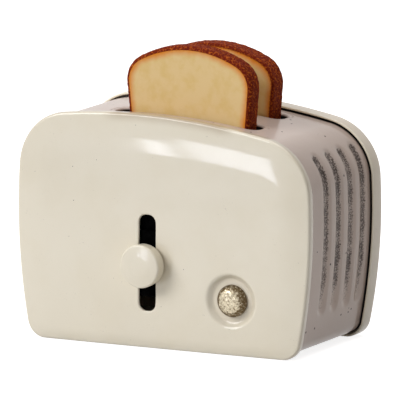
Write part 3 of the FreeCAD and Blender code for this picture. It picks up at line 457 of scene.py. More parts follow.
def make_mesh(name, vertices, quads, triangles=None, layers=None):
    """A smooth-shaded object at the origin, with its place in its mesh, from arrays of vertices
    and faces, and with one float attribute for each layer."""
    vertices = np.asarray(vertices, np.float32).reshape(-1, 3)
    quads = np.asarray(quads, np.int32)
    triangles = np.zeros((0, 3), np.int32) if triangles is None else np.asarray(triangles, np.int32)
    mesh = bpy.data.meshes.new(name)
    mesh.vertices.add(len(vertices))
    mesh.vertices.foreach_set("co", vertices.ravel())
    mesh.loops.add(quads.size + triangles.size)
    mesh.loops.foreach_set("vertex_index", np.concatenate((quads.ravel(), triangles.ravel())))
    mesh.polygons.add(len(quads) + len(triangles))
    starts = np.concatenate((np.arange(len(quads)) * 4, quads.size + np.arange(len(triangles)) * 3))
    mesh.polygons.foreach_set("loop_start", starts.astype(np.int32))
    mesh.polygons.foreach_set("use_smooth", np.ones(len(starts), bool))
    for title, numbers in (layers or {}).items():
        layer = mesh.attributes.new(title, "FLOAT", "POINT")
        layer.data.foreach_set("value", np.asarray(numbers, np.float32).ravel())
    mesh.update(calc_edges=True)
    mesh.validate()
    made = bpy.data.objects.new(name, mesh)
    bpy.context.scene.collection.objects.link(made)
    return made


def facing_out(vertices, quads, triangles=None):
    """Turn every face round if the closed surface encloses a negative volume."""
    corners = vertices[quads[:, :3]]
    other = vertices[quads[:, (0, 2, 3)]]
    volume = (corners[:, 0] * np.cross(corners[:, 1], corners[:, 2])).sum()
    volume += (other[:, 0] * np.cross(other[:, 1], other[:, 2])).sum()
    if triangles is not None and len(triangles):
        thirds = vertices[triangles]
        volume += (thirds[:, 0] * np.cross(thirds[:, 1], thirds[:, 2])).sum()
    if volume >= 0.0:
        return quads, triangles
    return quads[:, ::-1], None if triangles is None else triangles[:, ::-1]


def looped_grid(rows):
    """Closed surface of rows that run round, the last one joined to the first, facing outwards."""
    grid = np.array(rows)
    flat = grid.reshape(-1, 3)
    quads, _ = facing_out(flat, ring_faces(*grid.shape[:2], True))
    return flat, quads


def capped_grid(rows, poles):
    """Closed surface of rows that run round, with a fan of triangles from the first and from the
    last of them to a pole each, facing outwards."""
    grid = np.array(rows)
    count, columns = grid.shape[:2]
    flat = np.concatenate((grid.reshape(-1, 3), poles))
    first = count * columns
    triangles = np.concatenate((fan_faces(0, columns, first, True),
                                fan_faces(first - columns, columns, first + 1, False)))
    quads, triangles = facing_out(flat, ring_faces(count, columns, False), triangles)
    return flat, quads, triangles


def front_dish_surface(case, press):
    """Front dish as one closed surface of two parameters. One runs round the outline. The other
    starts at the lever slot, crosses the face, rolls over the shoulder, runs down the flange and
    over the folded rim, and comes back behind the sheet to the slot."""
    points, normals = case_outline(case)
    middle = unsettled(case, press.lever_slot_x, press.lever_slot_z)
    angle = np.arctan2(points[:, 1] - middle[1], points[:, 0] - middle[0])
    slot, slot_out = rounded_slot(press.lever_slot_width / 2, press.lever_slot_length / 2,
                                  press.lever_slot_corner, angle)
    slot = slot + middle

    def depth_at(flat):
        """Depth of the sheet's front."""
        return dimpled(case, press, flat)

    def back_at(flat):
        """Depth of the sheet's other side."""
        return depth_at(flat) + case.sheet

    plane, radius = case.front, case.shoulder
    rows = []
    for turn in np.linspace(0.0, QUARTER, 6):
        flat = slot + slot_out * SLOT_ROUND * (1.0 - math.cos(turn))
        rows.append(raised(flat, plane + depth_at(flat) + SLOT_ROUND * (1.0 - math.sin(turn))))
    rows += sheet_rows(slot + slot_out * SLOT_ROUND, points - normals * radius, depth_at, 1.0, plane,
                       np.linspace(0.0, 1.0, FRONT_FACE_ROWS)[1:-1])
    rows += shoulder_rows(points, normals, depth_at, 1.0, plane, radius)
    rows += rim_rows(points, normals, plane + case.front_flange, case.hem, 1.0, FRONT_RIM_ROWS)
    inner = points - normals * case.hem
    rows.append(raised(inner, plane + back_at(inner) + radius))
    rows += sheet_rows(points - normals * (case.hem + radius), slot, back_at, 1.0, plane,
                       np.linspace(0.0, 1.0, FRONT_BACK_ROWS))
    flat, quads = looped_grid(rows)
    from_mouth = distance(flat[:, (0, 2)], unsettled(case, press.dimple_x, press.dimple_z))
    pressed = np.exp(-((from_mouth - press.dimple_radius) / DIMPLE_RIM) ** 2)
    # The tint layer is painted light: shade down the flange and the toast's reflection over the top
    # edge.
    return settled(case, flat), quads, {"pressed": pressed, "tint": shade_and_reflection_layer(case, press, flat)}


def shade_and_reflection_layer(case, press, flat):
    """Where the front dish takes painted light: painted shade evenly down the flange, and a painted
    reflection of the toast over the top edge as far across as the toast behind it reaches."""
    behind = flat[:, 1] - case.front
    flange = smooth(*FLANGE_SHADE, behind)
    shade_and_toast_reflection = smooth(case.height * 0.9, case.height * 0.97, flat[:, 2])
    shade_and_toast_reflection = shade_and_toast_reflection * (1.0 - smooth(*TOAST_REACH, np.abs(flat[:, 0] - press.front_slot_x)))
    return np.maximum(flange * 0.45, shade_and_toast_reflection * 0.85 * smooth(*ROLL_REFLECTION, behind))


def rear_dish_surface(case, screw_places):
    """Rear dish as one closed surface: from a pole in the middle of the face over the shoulder,
    the deep flange and the rim, and back behind the sheet to a second pole. Round each screw the
    face keeps to its highest plane."""
    points, normals = case_outline(case)
    seats = [unsettled(case, across, up) for across, up in screw_places]

    def depth_at(flat):
        """Depth of the sheet's outside, level at the screws."""
        fall = pillow(case, flat)
        for seat in seats:
            fall = fall * smooth(SCREW_SEAT, SCREW_SEAT_END, distance(flat, seat))
        return fall

    def back_at(flat):
        """Depth of the sheet's other side."""
        return depth_at(flat) + case.sheet

    plane, radius = case.rear, case.shoulder
    middle = np.array(((0.0, case.height / 2),))
    centre = np.repeat(middle, len(points), 0)
    rim = plane - case.rear_flange
    rows = sheet_rows(centre, points - normals * radius, depth_at, -1.0, plane,
                      np.linspace(0.0, 1.0, REAR_FACE_ROWS)[1:-1])
    rows += shoulder_rows(points, normals, depth_at, -1.0, plane, radius)
    rows += rim_rows(points, normals, rim, case.sheet, -1.0, REAR_RIM_ROWS)
    inner = points - normals * case.sheet
    rows.append(raised(inner, plane - (back_at(inner) + radius)))
    rows += sheet_rows(points - normals * (case.sheet + radius), centre, back_at, -1.0, plane,
                       np.linspace(0.0, 1.0, REAR_BACK_ROWS)[:-1])
    poles = [raised(middle, plane - depth(middle))[0] for depth in (depth_at, back_at)]
    flat, quads, triangles = capped_grid(rows, poles)
    # The tint layer is a painted highlight along the rim of the rear dish's sheet.
    layers = {"pressed": np.zeros(len(flat)), "tint": 1.0 - smooth(*RIM_HIGHLIGHT, flat[:, 1] - rim)}
    return settled(case, flat), quads, triangles, layers


def groove_share(case, press, y, run, ends):
    """Share of the grooves' depth. The distance from a groove's middle line, taken round its two
    ends, goes through a smooth step from the mouth to the floor."""
    share_down = np.zeros(np.broadcast(y, run).shape)
    over = np.maximum(np.maximum(ends[0] - run, run - ends[1]), 0.0)
    for index in range(press.groove_count):
        middle = case.front + press.groove_first + index * press.groove_pitch
        away = smooth(press.groove_width * 0.05, press.groove_width * 0.5, np.hypot(y - middle, over))
        share_down = np.maximum(share_down, 1.0 - away)
    return share_down


def groove_ends(press, outer, travelled, side):
    """Places along the band's run at which the grooves of one side start and end."""
    order = np.argsort(outer[side, 1])
    heights = (press.groove_low, press.groove_high)
    return np.sort(np.interp(heights, outer[side, 1][order], travelled[side][order]))


def band_surface(case, press):
    """Band as one closed strip: the outline less its inset, run from one edge of the foot opening
    over the top to the other, times evenly spaced places from front to back, pushed inwards by
    the grooves, with the inside a sheet's thickness below."""
    heel, start = outline_frame(case)[3][0], case.foot_opening / 2
    runs = [line_run((start, 0.0), (heel, 0.0), DOWN, 10)]
    runs += outline_runs(case, 14, 84, 34, 60)
    runs += [line_run((-heel, 0.0), (-start, 0.0), DOWN, 10), (((-start, 0.0),), (DOWN,))]
    points, normals = joined(runs)
    outer = points - normals * case.band_inset
    travelled = np.concatenate(((0.0,), np.cumsum(np.hypot(*np.diff(outer, axis=0).T))))
    y, run = np.meshgrid(np.linspace(case.band_front, case.band_rear, BAND_STEPS), travelled)
    groove = np.zeros(y.shape)
    for side in (outer[:, 0] > case.width * 0.3, outer[:, 0] < -case.width * 0.3):
        ends = groove_ends(press, outer, travelled, side)
        groove = np.maximum(groove, groove_share(case, press, y, run, ends))
    rim = case.rear - case.rear_flange
    tuck = case.band_tuck * smooth(rim - TUCK[0], rim - TUCK[1], y)
    sunk = case.band_inset + groove * press.groove_depth + tuck

    def surface(extra):
        """One wall of the band, an extra distance further in."""
        flat = points[:, None, :] - normals[:, None, :] * (sunk + extra)[:, :, None]
        return np.stack((flat[..., 0], y, flat[..., 1]), -1)

    def both_walls(numbers):
        """Numbers of the outer wall for the outer wall and, backwards, for the inner one."""
        return np.concatenate((numbers, numbers[:, ::-1]), 1).ravel()

    loop = np.concatenate((surface(0.0), surface(case.band_sheet)[:, ::-1]), 1)
    rows, columns = loop.shape[:2]
    flat = loop.reshape(-1, 3)
    index = np.arange(columns // 2 - 1)
    opposite = columns - 1 - index
    cap = np.stack((index, opposite, opposite - 1, index + 1), 1)
    sides = ring_faces(rows, columns, False)
    quads, _ = facing_out(flat, np.concatenate((sides, cap, cap[:, ::-1] + (rows - 1) * columns)))
    height = flat[:, 2]
    patina = both_walls(groove)
    head = smooth(press.groove_high - 0.008, press.groove_high - 0.001, height)
    foot = smooth(press.groove_low, press.groove_low + 0.006, height)
    patina = patina * (0.95 + 0.12 * head) * (0.5 + 0.5 * foot)
    behind, flange = both_walls(y), case.front + case.front_flange
    # Painted shade: the band turns near black where it runs under the rims of the two dishes.
    gap_shade = np.maximum(smooth(rim, rim + REAR_GAP_SHADE, behind),
                     1.0 - smooth(flange - FRONT_GAP_SHADE, flange, behind))
    return settled(case, flat), quads, {"groove": patina, "gap_shade": gap_shade}


def slot_tool(name, press, middle, low, high):
    """Prism of a bread slot's outline grown by a margin, for cutting the hole."""
    outline, _ = bread_slot_ring(press, SLOT_CLEARANCE, 240)
    outline = outline + np.array(middle)
    rows = [np.column_stack((outline, np.full(len(outline), level))) for level in (low, high)]
    return make_mesh(name, *capped_grid(rows, [(*middle, low), (*middle, high)]))


def lip_profile(press, sheet):
    """Section of a slot's lip, as distance outwards and depth below the band's top: a quarter
    bend down, a straight wall with a half round at its end, and the same way back outside."""
    end = press.bread_lip - sheet / 2
    profile = [(LIP_BEND + 0.0004, 0.00003), (LIP_BEND + 0.0002, 0.000008)]
    profile += [(LIP_BEND * (1 - math.sin(turn)), LIP_BEND * (1 - math.cos(turn)))
                for turn in np.linspace(0.0, QUARTER, 9)]
    profile += [(0.0, press.bread_lip * 0.5), (0.0, end)]
    profile += [(sheet / 2 * (1 - math.cos(turn)), end + sheet / 2 * math.sin(turn))
                for turn in np.linspace(0.0, math.pi, 7)[1:]]
    return np.array(profile + [(sheet, LIP_BEND + sheet), (LIP_BEND + 0.0004, sheet + 0.00003)])


def lip_surface(case, press, middle):
    """Lip round a bread slot: the slot's outline carried along the lip's section, down from the
    arch of the band's top."""
    outline, outward = bread_slot_ring(press, 0.0, 260)
    profile = lip_profile(press, case.band_sheet)
    middle = np.array((unsettled(case, middle[0], case.height)[0], middle[1]))
    place_at = outline[None] + outward[None] * profile[:, 0][:, None, None] + middle
    arch = case.top_radius - case.band_inset
    top = case.height - case.top_radius + np.sqrt(arch ** 2 - place_at[..., 0] ** 2)
    rows = np.concatenate((place_at, (top - profile[:, 1][:, None])[..., None]), -1)
    flat, quads = looped_grid(rows)
    # Painted shade: the lip turns near black as it goes down into the slot.
    deep = np.repeat(smooth(0.0002, 0.0006, profile[:, 1]), len(outline))
    return settled(case, flat), quads, None, {"groove": np.zeros(len(flat)), "gap_shade": deep}


def turned_surface(profile, middle, columns, relief=None):
    """Surface of revolution about an axis along Y: radius and depth of the profile, each point
    turned round the axis, with its two end points as poles."""
    angle = np.linspace(0.0, 2 * math.pi, columns, endpoint=False)
    radius = profile[1:-1, 0][:, None] * np.ones(columns)
    depth = profile[1:-1, 1][:, None] * np.ones(columns)
    if relief is not None:
        depth = depth + relief(radius, angle)
    rows = np.stack((middle[0] + radius * np.cos(angle), depth, middle[1] + radius * np.sin(angle)), -1)
    return capped_grid(rows, [(middle[0], profile[end, 1], middle[1]) for end in (0, -1)])


def rounded_profile(corners, radii, count):
    """Line through corners of a half section, each inner corner replaced by points of a round:
    the quadratic between the two tangent points, weighted like an arc."""
    corners = np.asarray(corners, float)
    run = [corners[0]]
    for before, here, after, radius in zip(corners, corners[1:], corners[2:], radii):
        if radius <= 0:
            run.append(here)
            continue
        back = (before - here) / np.hypot(*(before - here))
        ahead = (after - here) / np.hypot(*(after - here))
        opening = math.acos(np.clip(back @ ahead, -1.0, 1.0))
        reach, weight = radius / math.tan(opening / 2), math.sin(opening / 2)
        for step in np.linspace(0.0, 1.0, count):
            a, b, c = (1 - step) ** 2, 2 * weight * step * (1 - step), step ** 2
            tangents = a * (here + back * reach) + c * (here + ahead * reach)
            run.append((tangents + b * here) / (a + b + c))
    return np.array(run + [corners[-1]])


def slice_outline(bread, floor, crest):
    """Outline of a slice about its middle: a flat foot, small toes, straight flaring sides, small
    shoulders tangent to both, and a dome. Returns points and normals, counterclockwise."""
    foot = np.array((bread.base_width / 2, floor))
    widest = np.array((bread.widest / 2, floor + bread.widest_height))
    heading = (widest - foot) / np.hypot(*(widest - foot))
    inward = np.array((-heading[1], heading[0]))
    dome = np.array((0.0, crest - bread.dome_radius))
    start = foot + inward * bread.corner_radius - dome
    along = start @ heading
    reach = bread.dome_radius - bread.corner_radius
    corner = dome + start + heading * (math.sqrt(along ** 2 - start @ start + reach ** 2) - along)
    lift = math.atan2(*(corner - dome)[::-1])
    side = math.atan2(-inward[1], -inward[0])
    shoulder = corner - inward * bread.corner_radius
    toe = foot + (inward + heading) * SLICE_TOE
    heel = np.array((toe[0], floor))
    rise = foot + heading * SLICE_TOE
    return joined([
        line_run(heel * MIRROR, heel, DOWN, 60),
        arc_run(toe, SLICE_TOE, -QUARTER, side, 6),
        line_run(rise, shoulder, -inward, 60),
        arc_run(corner, bread.corner_radius, side, lift, 16),
        arc_run(dome, bread.dome_radius, lift, math.pi - lift, 110),
        arc_run(corner * MIRROR, bread.corner_radius, math.pi - lift, math.pi - side, 16),
        line_run(shoulder * MIRROR, rise * MIRROR, (inward[0], -inward[1]), 60),
        arc_run(toe * MIRROR, SLICE_TOE, math.pi - side, math.pi + QUARTER, 6),
    ])


def crust_wave(points, phase):
    """Unevenness of the crust: the mean of three waves across and up, in radians per millimetre,
    which slide as the phase grows from front to back."""
    x, z = (points / MM).T
    return (np.sin(x * 3.1 + z * 1.7 + phase) + np.sin(z * 4.3 - x * 2.2 + 2 * phase)
            + np.sin(x * 7.9 + phase * 3) * np.cos(z * 6.7 - phase)) / 3


def slice_surface(bread, low, high, edge):
    """One slice as a closed surface: the outline shrunk towards a middle line gives each flat face,
    and rounded edges join the faces to the crust, which the waves make uneven."""
    floor, crest = low.z, high.z
    points, normals = slice_outline(bread, floor, crest)
    grain, last_phase = bread.crust_grain, 9.0
    core = (points - (0.0, floor)) * 0.12 + (0.0, floor + 0.45 * (crest - floor))
    border = points - normals * edge
    rows, rims = [], []

    def add_face(steps, level):
        """Rows of one flat face, between the core and its border."""
        for step in steps:
            flat = core + (border - core) * step
            rows.append(raised(flat, level))
            rims.append(distance(flat - points, (0.0, 0.0)))

    def add_crust(inset, height, phase, level):
        """One row of the crust, with its waves as high as asked for."""
        flat = points - normals * inset + normals * (height * crust_wave(points, phase))[:, None]
        rows.append(raised(flat, level))
        rims.append(np.zeros(len(flat)))

    turns = np.linspace(0.0, QUARTER, SLICE_EDGE_ROWS)[1:]
    middle, half = (low.y + high.y) / 2, (high.y - low.y) / 2
    add_face(np.linspace(0.0, 1.0, SLICE_FACE_ROWS), middle - half)
    for turn in turns:
        add_crust(edge * (1 - math.sin(turn)) + grain, grain * math.sin(turn), 0.0,
                  middle - half + edge * (1 - math.cos(turn)))
    for step in np.linspace(-1.0, 1.0, SLICE_SIDE_ROWS)[1:-1]:
        add_crust(grain, grain, last_phase * step, middle + step * (half - edge))
    for turn in turns[::-1]:
        add_crust(edge * (1 - math.sin(turn)) + grain, grain * math.sin(turn), last_phase,
                  middle + half - edge * (1 - math.cos(turn)))
    add_face(np.linspace(1.0, 0.0, SLICE_FACE_ROWS), middle + half)
    poles = [(0.0, level, core[:, 1].mean()) for level in (middle - half, middle + half)]
    flat, quads, triangles = capped_grid(rows, poles)
    rim = np.concatenate((np.ravel(rims), (DEEP_CRUMB, DEEP_CRUMB))) / MM
    return flat + ((low.x + high.x) / 2, 0.0, 0.0), quads, triangles, {"rim": rim}


# Node groups and finishes

def put(tree, kind, label, values=None, **settings):
    """Add one node, label it, and set its fields and its unlinked sockets."""
    made = tree.nodes.new(kind)
    made.label = made.name = label
    for field, setting in settings.items():
        setattr(made, field, setting)
    for socket, number in (values or {}).items():
        made.inputs[socket].default_value = number
    return made


def wire(tree, *pairs):
    """Link outputs to inputs, given in pairs."""
    for source, target in pairs:
        tree.links.new(source, target)


def feed(tree, source, target):
    """Link a socket to an input, or write a number or a colour into it."""
    if isinstance(source, bpy.types.NodeSocket):
        tree.links.new(source, target)
    else:
        target.default_value = source


def group_shell(name, takes, gives):
    """A shader node group with its named inputs and outputs, and the place on the piece."""
    tree = bpy.data.node_groups.new(name, "ShaderNodeTree")
    for title, kind, default in takes:
        socket = tree.interface.new_socket(title, in_out="INPUT", socket_type=kind)
        socket.default_value = default
    for title, kind in gives:
        tree.interface.new_socket(title, in_out="OUTPUT", socket_type=kind)
    where = put(tree, "ShaderNodeTexCoord", "Where").outputs["Object"]
    start, end = tree.nodes.new("NodeGroupInput"), tree.nodes.new("NodeGroupOutput")
    return tree, start.outputs, end.inputs, where


FLOAT, COLOUR = "NodeSocketFloat", "NodeSocketColor"
MIX_SHARE, MIX_FIRST, MIX_SECOND, MIX_COLOUR = 0, 6, 7, 2


def noise(tree, where, label, scale, detail=3.0, rough=0.5):
    """Noise read from a coordinate socket; the scale, in cycles per metre, may be a socket."""
    made = put(tree, "ShaderNodeTexNoise", label, {"Detail": detail, "Roughness": rough})
    feed(tree, scale, made.inputs["Scale"])
    wire(tree, (where, made.inputs["Vector"]))
    return made.outputs["Fac"]


def cells(tree, where, label, scale):
    """Cells of about one size; the scale, in cells per metre, may be a socket."""
    made = put(tree, "ShaderNodeTexVoronoi", label, {"Randomness": 1.0})
    feed(tree, scale, made.inputs["Scale"])
    wire(tree, (where, made.inputs["Vector"]))
    return made.outputs


def few_cells(tree, found, odds):
    """A mask of the cells whose own random number is above the odds."""
    chance = put(tree, "ShaderNodeSeparateColor", "Chance")
    wire(tree, (found["Color"], chance.inputs[0]))
    return figure(tree, "GREATER_THAN", "Few Cells", chance.outputs[0], odds)


def ramp(tree, source, label, low, high, bottom=0.0, top=1.0):
    """Smooth map of a number from one range to another."""
    made = put(tree, "ShaderNodeMapRange", label, {"From Min": low, "From Max": high, "To Min": bottom,
                                                    "To Max": top}, interpolation_type="SMOOTHSTEP")
    wire(tree, (source, made.inputs["Value"]))
    return made.outputs["Result"]


def figure(tree, operation, label, *operands):
    """One Math node; each operand is a socket or a number."""
    made = put(tree, "ShaderNodeMath", label, operation=operation)
    for operand, socket in zip(operands, made.inputs):
        feed(tree, operand, socket)
    return made.outputs[0]


def blend_colours(tree, label, share_socket, first, second):
    """Mix two colours by a share; each colour is a socket or four numbers."""
    made = put(tree, "ShaderNodeMix", label, data_type="RGBA")
    for index, operand in ((MIX_SHARE, share_socket), (MIX_FIRST, first), (MIX_SECOND, second)):
        feed(tree, operand, made.inputs[index])
    return made.outputs[MIX_COLOUR]


def clouded(tree, label, cloud, paint, saturation, value):
    """A colour that goes over, where a cloud is, into a shade of itself."""
    shade = put(tree, "ShaderNodeHueSaturation", "Other Shade",
                {"Saturation": saturation, "Value": value})
    wire(tree, (paint, shade.inputs["Color"]))
    return blend_colours(tree, label, cloud, paint, shade.outputs["Color"])


def enamel_skin_group():
    """Height of stoved enamel over pressed tin: slow waves of the sheet and fine orange peel."""
    tree, start, end, where = group_shell("Enamel Skin", [("Wave", FLOAT, 1.0), ("Peel", FLOAT, 1.0)],
                                          [("Height", FLOAT)])
    slow = noise(tree, where, "Sheet Waves", 75.0, 2.0, 0.45)
    middle = noise(tree, where, "Flow", 420.0, 2.0)
    fine = noise(tree, where, "Orange Peel", 2300.0, 1.0, 0.4)
    waves = figure(tree, "MULTIPLY", "Wave Height", slow, start["Wave"])
    peel = figure(tree, "MULTIPLY", "Peel Height", fine, start["Peel"])
    total = figure(tree, "MULTIPLY_ADD", "Waves And Flow", middle, 0.22, waves)
    total = figure(tree, "MULTIPLY_ADD", "All Heights", peel, 0.03, total)
    wire(tree, (total, end["Height"]))
    return tree


def enamel_tone_group():
    """Colour of the enamel: a slow cloudy change and tiny dark specks, and where they lie."""
    tree, start, end, where = group_shell("Enamel Tone", [
        ("Paint", COLOUR, (0.78, 0.72, 0.6, 1.0)), ("Speck", COLOUR, (0.1, 0.07, 0.05, 1.0)),
        ("Specks", FLOAT, 0.3)], [("Color", COLOUR), ("Speck Mask", FLOAT)])
    cloud = ramp(tree, noise(tree, where, "Clouds", 130.0, 4.0, 0.55), "Cloud Share", 0.35, 0.7)
    paint = clouded(tree, "Clouded Paint", cloud, start["Paint"], 1.08, 0.975)
    found = cells(tree, where, "Speck Cells", 620.0)
    size = figure(tree, "MULTIPLY", "Speck Size", start["Specks"], 0.16)
    near = figure(tree, "LESS_THAN", "Inside Speck", found["Distance"], size)
    speck = figure(tree, "MULTIPLY", "Speck Mask", near, few_cells(tree, found, 0.86))
    mixed = blend_colours(tree, "Specked", speck, paint, start["Speck"])
    wire(tree, (mixed, end["Color"]), (speck, end["Speck Mask"]))
    return tree


def wear_group():
    """Grainy wear: a mask that grows out of a guide, broken up by two sizes of noise."""
    tree, start, end, where = group_shell("Grainy Wear", [
        ("Guide", FLOAT, 0.0), ("Amount", FLOAT, 0.5), ("Grain", FLOAT, 2600.0)], [("Mask", FLOAT)])
    grain = noise(tree, where, "Grain", start["Grain"], 3.0, 0.65)
    patch = noise(tree, where, "Patches", 330.0, 3.0, 0.6)
    broken = figure(tree, "MULTIPLY_ADD", "Broken", grain, 2.1, patch)
    total = figure(tree, "MULTIPLY_ADD", "Guide And Grain", start["Guide"], start["Amount"], broken)
    wire(tree, (ramp(tree, total, "Mask", 1.93, 2.60), end["Mask"]))
    return tree


def metal_group():
    """Handled metal: tarnish in patches, pits, and a roughness that follows the tarnish."""
    tree, start, end, where = group_shell("Handled Metal", [
        ("Metal", COLOUR, (0.6, 0.58, 0.55, 1.0)), ("Tarnish", COLOUR, (0.1, 0.07, 0.05, 1.0)),
        ("Amount", FLOAT, 0.4), ("Scale", FLOAT, 900.0), ("Smoothest", FLOAT, 0.22)],
        [("Color", COLOUR), ("Roughness", FLOAT), ("Height", FLOAT)])
    patch = noise(tree, where, "Tarnish Patches", start["Scale"], 5.0, 0.62)
    level = figure(tree, "MULTIPLY_ADD", "Tarnish Level", start["Amount"], 0.5, patch)
    mask = ramp(tree, level, "Tarnish Mask", 0.55, 0.85)
    mixed = blend_colours(tree, "Tarnished", mask, start["Metal"], start["Tarnish"])
    rough = figure(tree, "MULTIPLY_ADD", "Roughness", mask, 0.3, start["Smoothest"])
    pits = cells(tree, where, "Pits", figure(tree, "MULTIPLY", "Pit Scale", start["Scale"], 2.7))
    dent = ramp(tree, pits["Distance"], "Pit Depth", 0.0, 0.45)
    wire(tree, (mixed, end["Color"]), (rough, end["Roughness"]), (dent, end["Height"]))
    return tree


def bread_group():
    """Bread from the distance to the crust in millimetres: dark grains on the crust, an orange band
    inside it, pale crumb with a few orange spots beyond, and the height of pores and grains."""
    tree, start, end, where = group_shell("Toasted Bread", [
        ("Rim Distance", FLOAT, 0.0), ("Crumb", COLOUR, (0.64, 0.44, 0.19, 1.0)),
        ("Toasted", COLOUR, (0.56, 0.24, 0.06, 1.0)), ("Crust", COLOUR, (0.13, 0.022, 0.01, 1.0)),
        ("Crust Light", COLOUR, (0.42, 0.12, 0.028, 1.0))],
        [("Color", COLOUR), ("Crust Mask", FLOAT), ("Height", FLOAT)])
    slow = noise(tree, where, "Uneven Toasting", 260.0, 4.0, 0.6)
    fine = noise(tree, where, "Crust Grains", 2600.0, 4.0, 0.7)
    cloud = ramp(tree, noise(tree, where, "Crumb Clouds", 420.0, 5.0, 0.6), "Cloud", 0.4, 0.72)
    crumb = clouded(tree, "Clouded Crumb", cloud, start["Crumb"], 1.10, 0.95)
    wobble = figure(tree, "MULTIPLY_ADD", "Wobble", slow, -1.2, 0.6)
    away = figure(tree, "ADD", "Uneven Distance", start["Rim Distance"], wobble)
    band = ramp(tree, away, "Toasted Band", 0.5, 2.3, 1.0, 0.0)
    found = cells(tree, where, "Spot Cells", 330.0)
    ragged = figure(tree, "MULTIPLY_ADD", "Ragged Spot", fine, 0.25, found["Distance"])
    near = ramp(tree, ragged, "Spot", 0.20, 0.34, 0.8, 0.0)
    spot = figure(tree, "MULTIPLY", "Few Spots", near, few_cells(tree, found, 0.90))
    band = figure(tree, "MAXIMUM", "Band Or Spot", band, spot)
    inside = blend_colours(tree, "Crumb And Band", band, crumb, start["Toasted"])
    grains = ramp(tree, fine, "Grain Share", 0.47, 0.70)
    crust = blend_colours(tree, "Crust Grains Colour", grains, start["Crust"], start["Crust Light"])
    edge = figure(tree, "MULTIPLY_ADD", "Edge Line", fine, -0.9, start["Rim Distance"])
    mask = ramp(tree, edge, "Crust Mask", 0.12, 0.42, 1.0, 0.0)
    mixed = blend_colours(tree, "Bread Colour", mask, inside, crust)
    pores = cells(tree, where, "Pores", 1500.0)["Distance"]
    pores = ramp(tree, pores, "Pore Depth", 0.0, 0.3, -0.35, 0.0)
    grain_height = figure(tree, "MULTIPLY", "Grain Height", fine, mask)
    height = figure(tree, "MULTIPLY_ADD", "Bread Height", pores, 0.25, grain_height)
    wire(tree, (mixed, end["Color"]), (mask, end["Crust Mask"]), (height, end["Height"]))
    return tree


GROUPS = {}


def build_groups():
    """Make each node group once."""
    GROUPS.update(skin=enamel_skin_group(), tone=enamel_tone_group(), wear=wear_group(),
                  metal=metal_group(), bread=bread_group())


def place_group(tree, key, label, values):
    """Put one of the groups into a material, with this material's own values."""
    return put(tree, "ShaderNodeGroup", label, values, node_tree=GROUPS[key])


def fresh_material(name, constants):
    """A material with a Principled shader whose constant sockets are set."""
    made = bpy.data.materials.new(name)
    made.use_nodes = True
    tree = made.node_tree
    shader = tree.nodes["Principled BSDF"]
    for socket, number in constants.items():
        shader.inputs[socket].default_value = number
    return made, tree, shader


def bump(tree, height, normal_socket, strength, distance):
    """Turn a height into a normal for the shader."""
    made = put(tree, "ShaderNodeBump", "Relief", {"Strength": strength, "Distance": distance})
    wire(tree, (height, made.inputs["Height"]), (made.outputs["Normal"], normal_socket))


def opaque(three):
    """A colour of the sidebar as the four numbers that a colour socket takes."""
    return (*three, 1.0)


def attribute(tree, name):
    """Read a float attribute of the piece."""
    made = put(tree, "ShaderNodeAttribute", name.title(), attribute_type="GEOMETRY",
               attribute_name=name)
    return made.outputs["Fac"]


def enamel_material(name, finishes, paint, guide_name=None, wear=0.3, guide_low=0.55, guide_high=1.0,
                    specks=0.3, wave=1.0, lacquer=0.6, gloss=0.4, tint=None, gap_shade=False):
    """Glossy stoved enamel. Where the piece's guide attribute is high it is worn through to dark
    metal, where its tint attribute is high it takes the tint as painted light, and where its
    attribute for shade between parts is high it is painted black as painted shade."""
    made, tree, shader = fresh_material(name, {
        "IOR": 1.5, "Specular IOR Level": gloss, "Coat Weight": lacquer, "Coat Roughness": 0.065,
        "Coat IOR": 1.5})
    patina = opaque(finishes.patina)
    tone = place_group(tree, "tone", "Tone",
                       {"Paint": opaque(paint), "Speck": patina, "Specks": specks})
    skin = place_group(tree, "skin", "Skin", {"Wave": wave, "Peel": 1.0})
    shown, height = tone.outputs["Color"], skin.outputs["Height"]
    rough = figure(tree, "MULTIPLY_ADD", "Specks Are Dull", tone.outputs["Speck Mask"], 0.35, 0.30)
    if guide_name:
        guide = ramp(tree, attribute(tree, guide_name), "Guide", guide_low, guide_high)
        worn = place_group(tree, "wear", "Wear", {"Amount": wear, "Grain": 3400.0})
        wire(tree, (guide, worn.inputs["Guide"]))
        mask = worn.outputs["Mask"]
        shown = blend_colours(tree, "Worn Colour", mask, shown, patina)
        rough = figure(tree, "MULTIPLY_ADD", "Worn Roughness", mask, 0.3, rough)
        height = figure(tree, "MULTIPLY_ADD", "Worn Height", mask, -0.05, height)
    # Tints of painted light: shade and toast reflection on the front dish, a highlight on the rear
    # dish's rim.
    if tint:
        shown = blend_colours(tree, "Tinted Colour", attribute(tree, "tint"), shown, opaque(tint))
    # Painted shade: near black where the piece runs between parts or down into a slot.
    if gap_shade:
        dark = attribute(tree, "gap_shade")
        shown = blend_colours(tree, "Painted Gap Shade", dark, shown, PAINTED_GAP_SHADE)
        rough = figure(tree, "MULTIPLY_ADD", "Dull Gap", dark, 0.6, rough)
        clear = figure(tree, "MULTIPLY_ADD", "Lacquer Outside The Gap", dark, -lacquer, lacquer)
        wire(tree, (clear, shader.inputs["Coat Weight"]))
    wire(tree, (shown, shader.inputs["Base Color"]), (rough, shader.inputs["Roughness"]))
    bump(tree, height, shader.inputs["Normal"], 0.35, 0.00035)
    return made


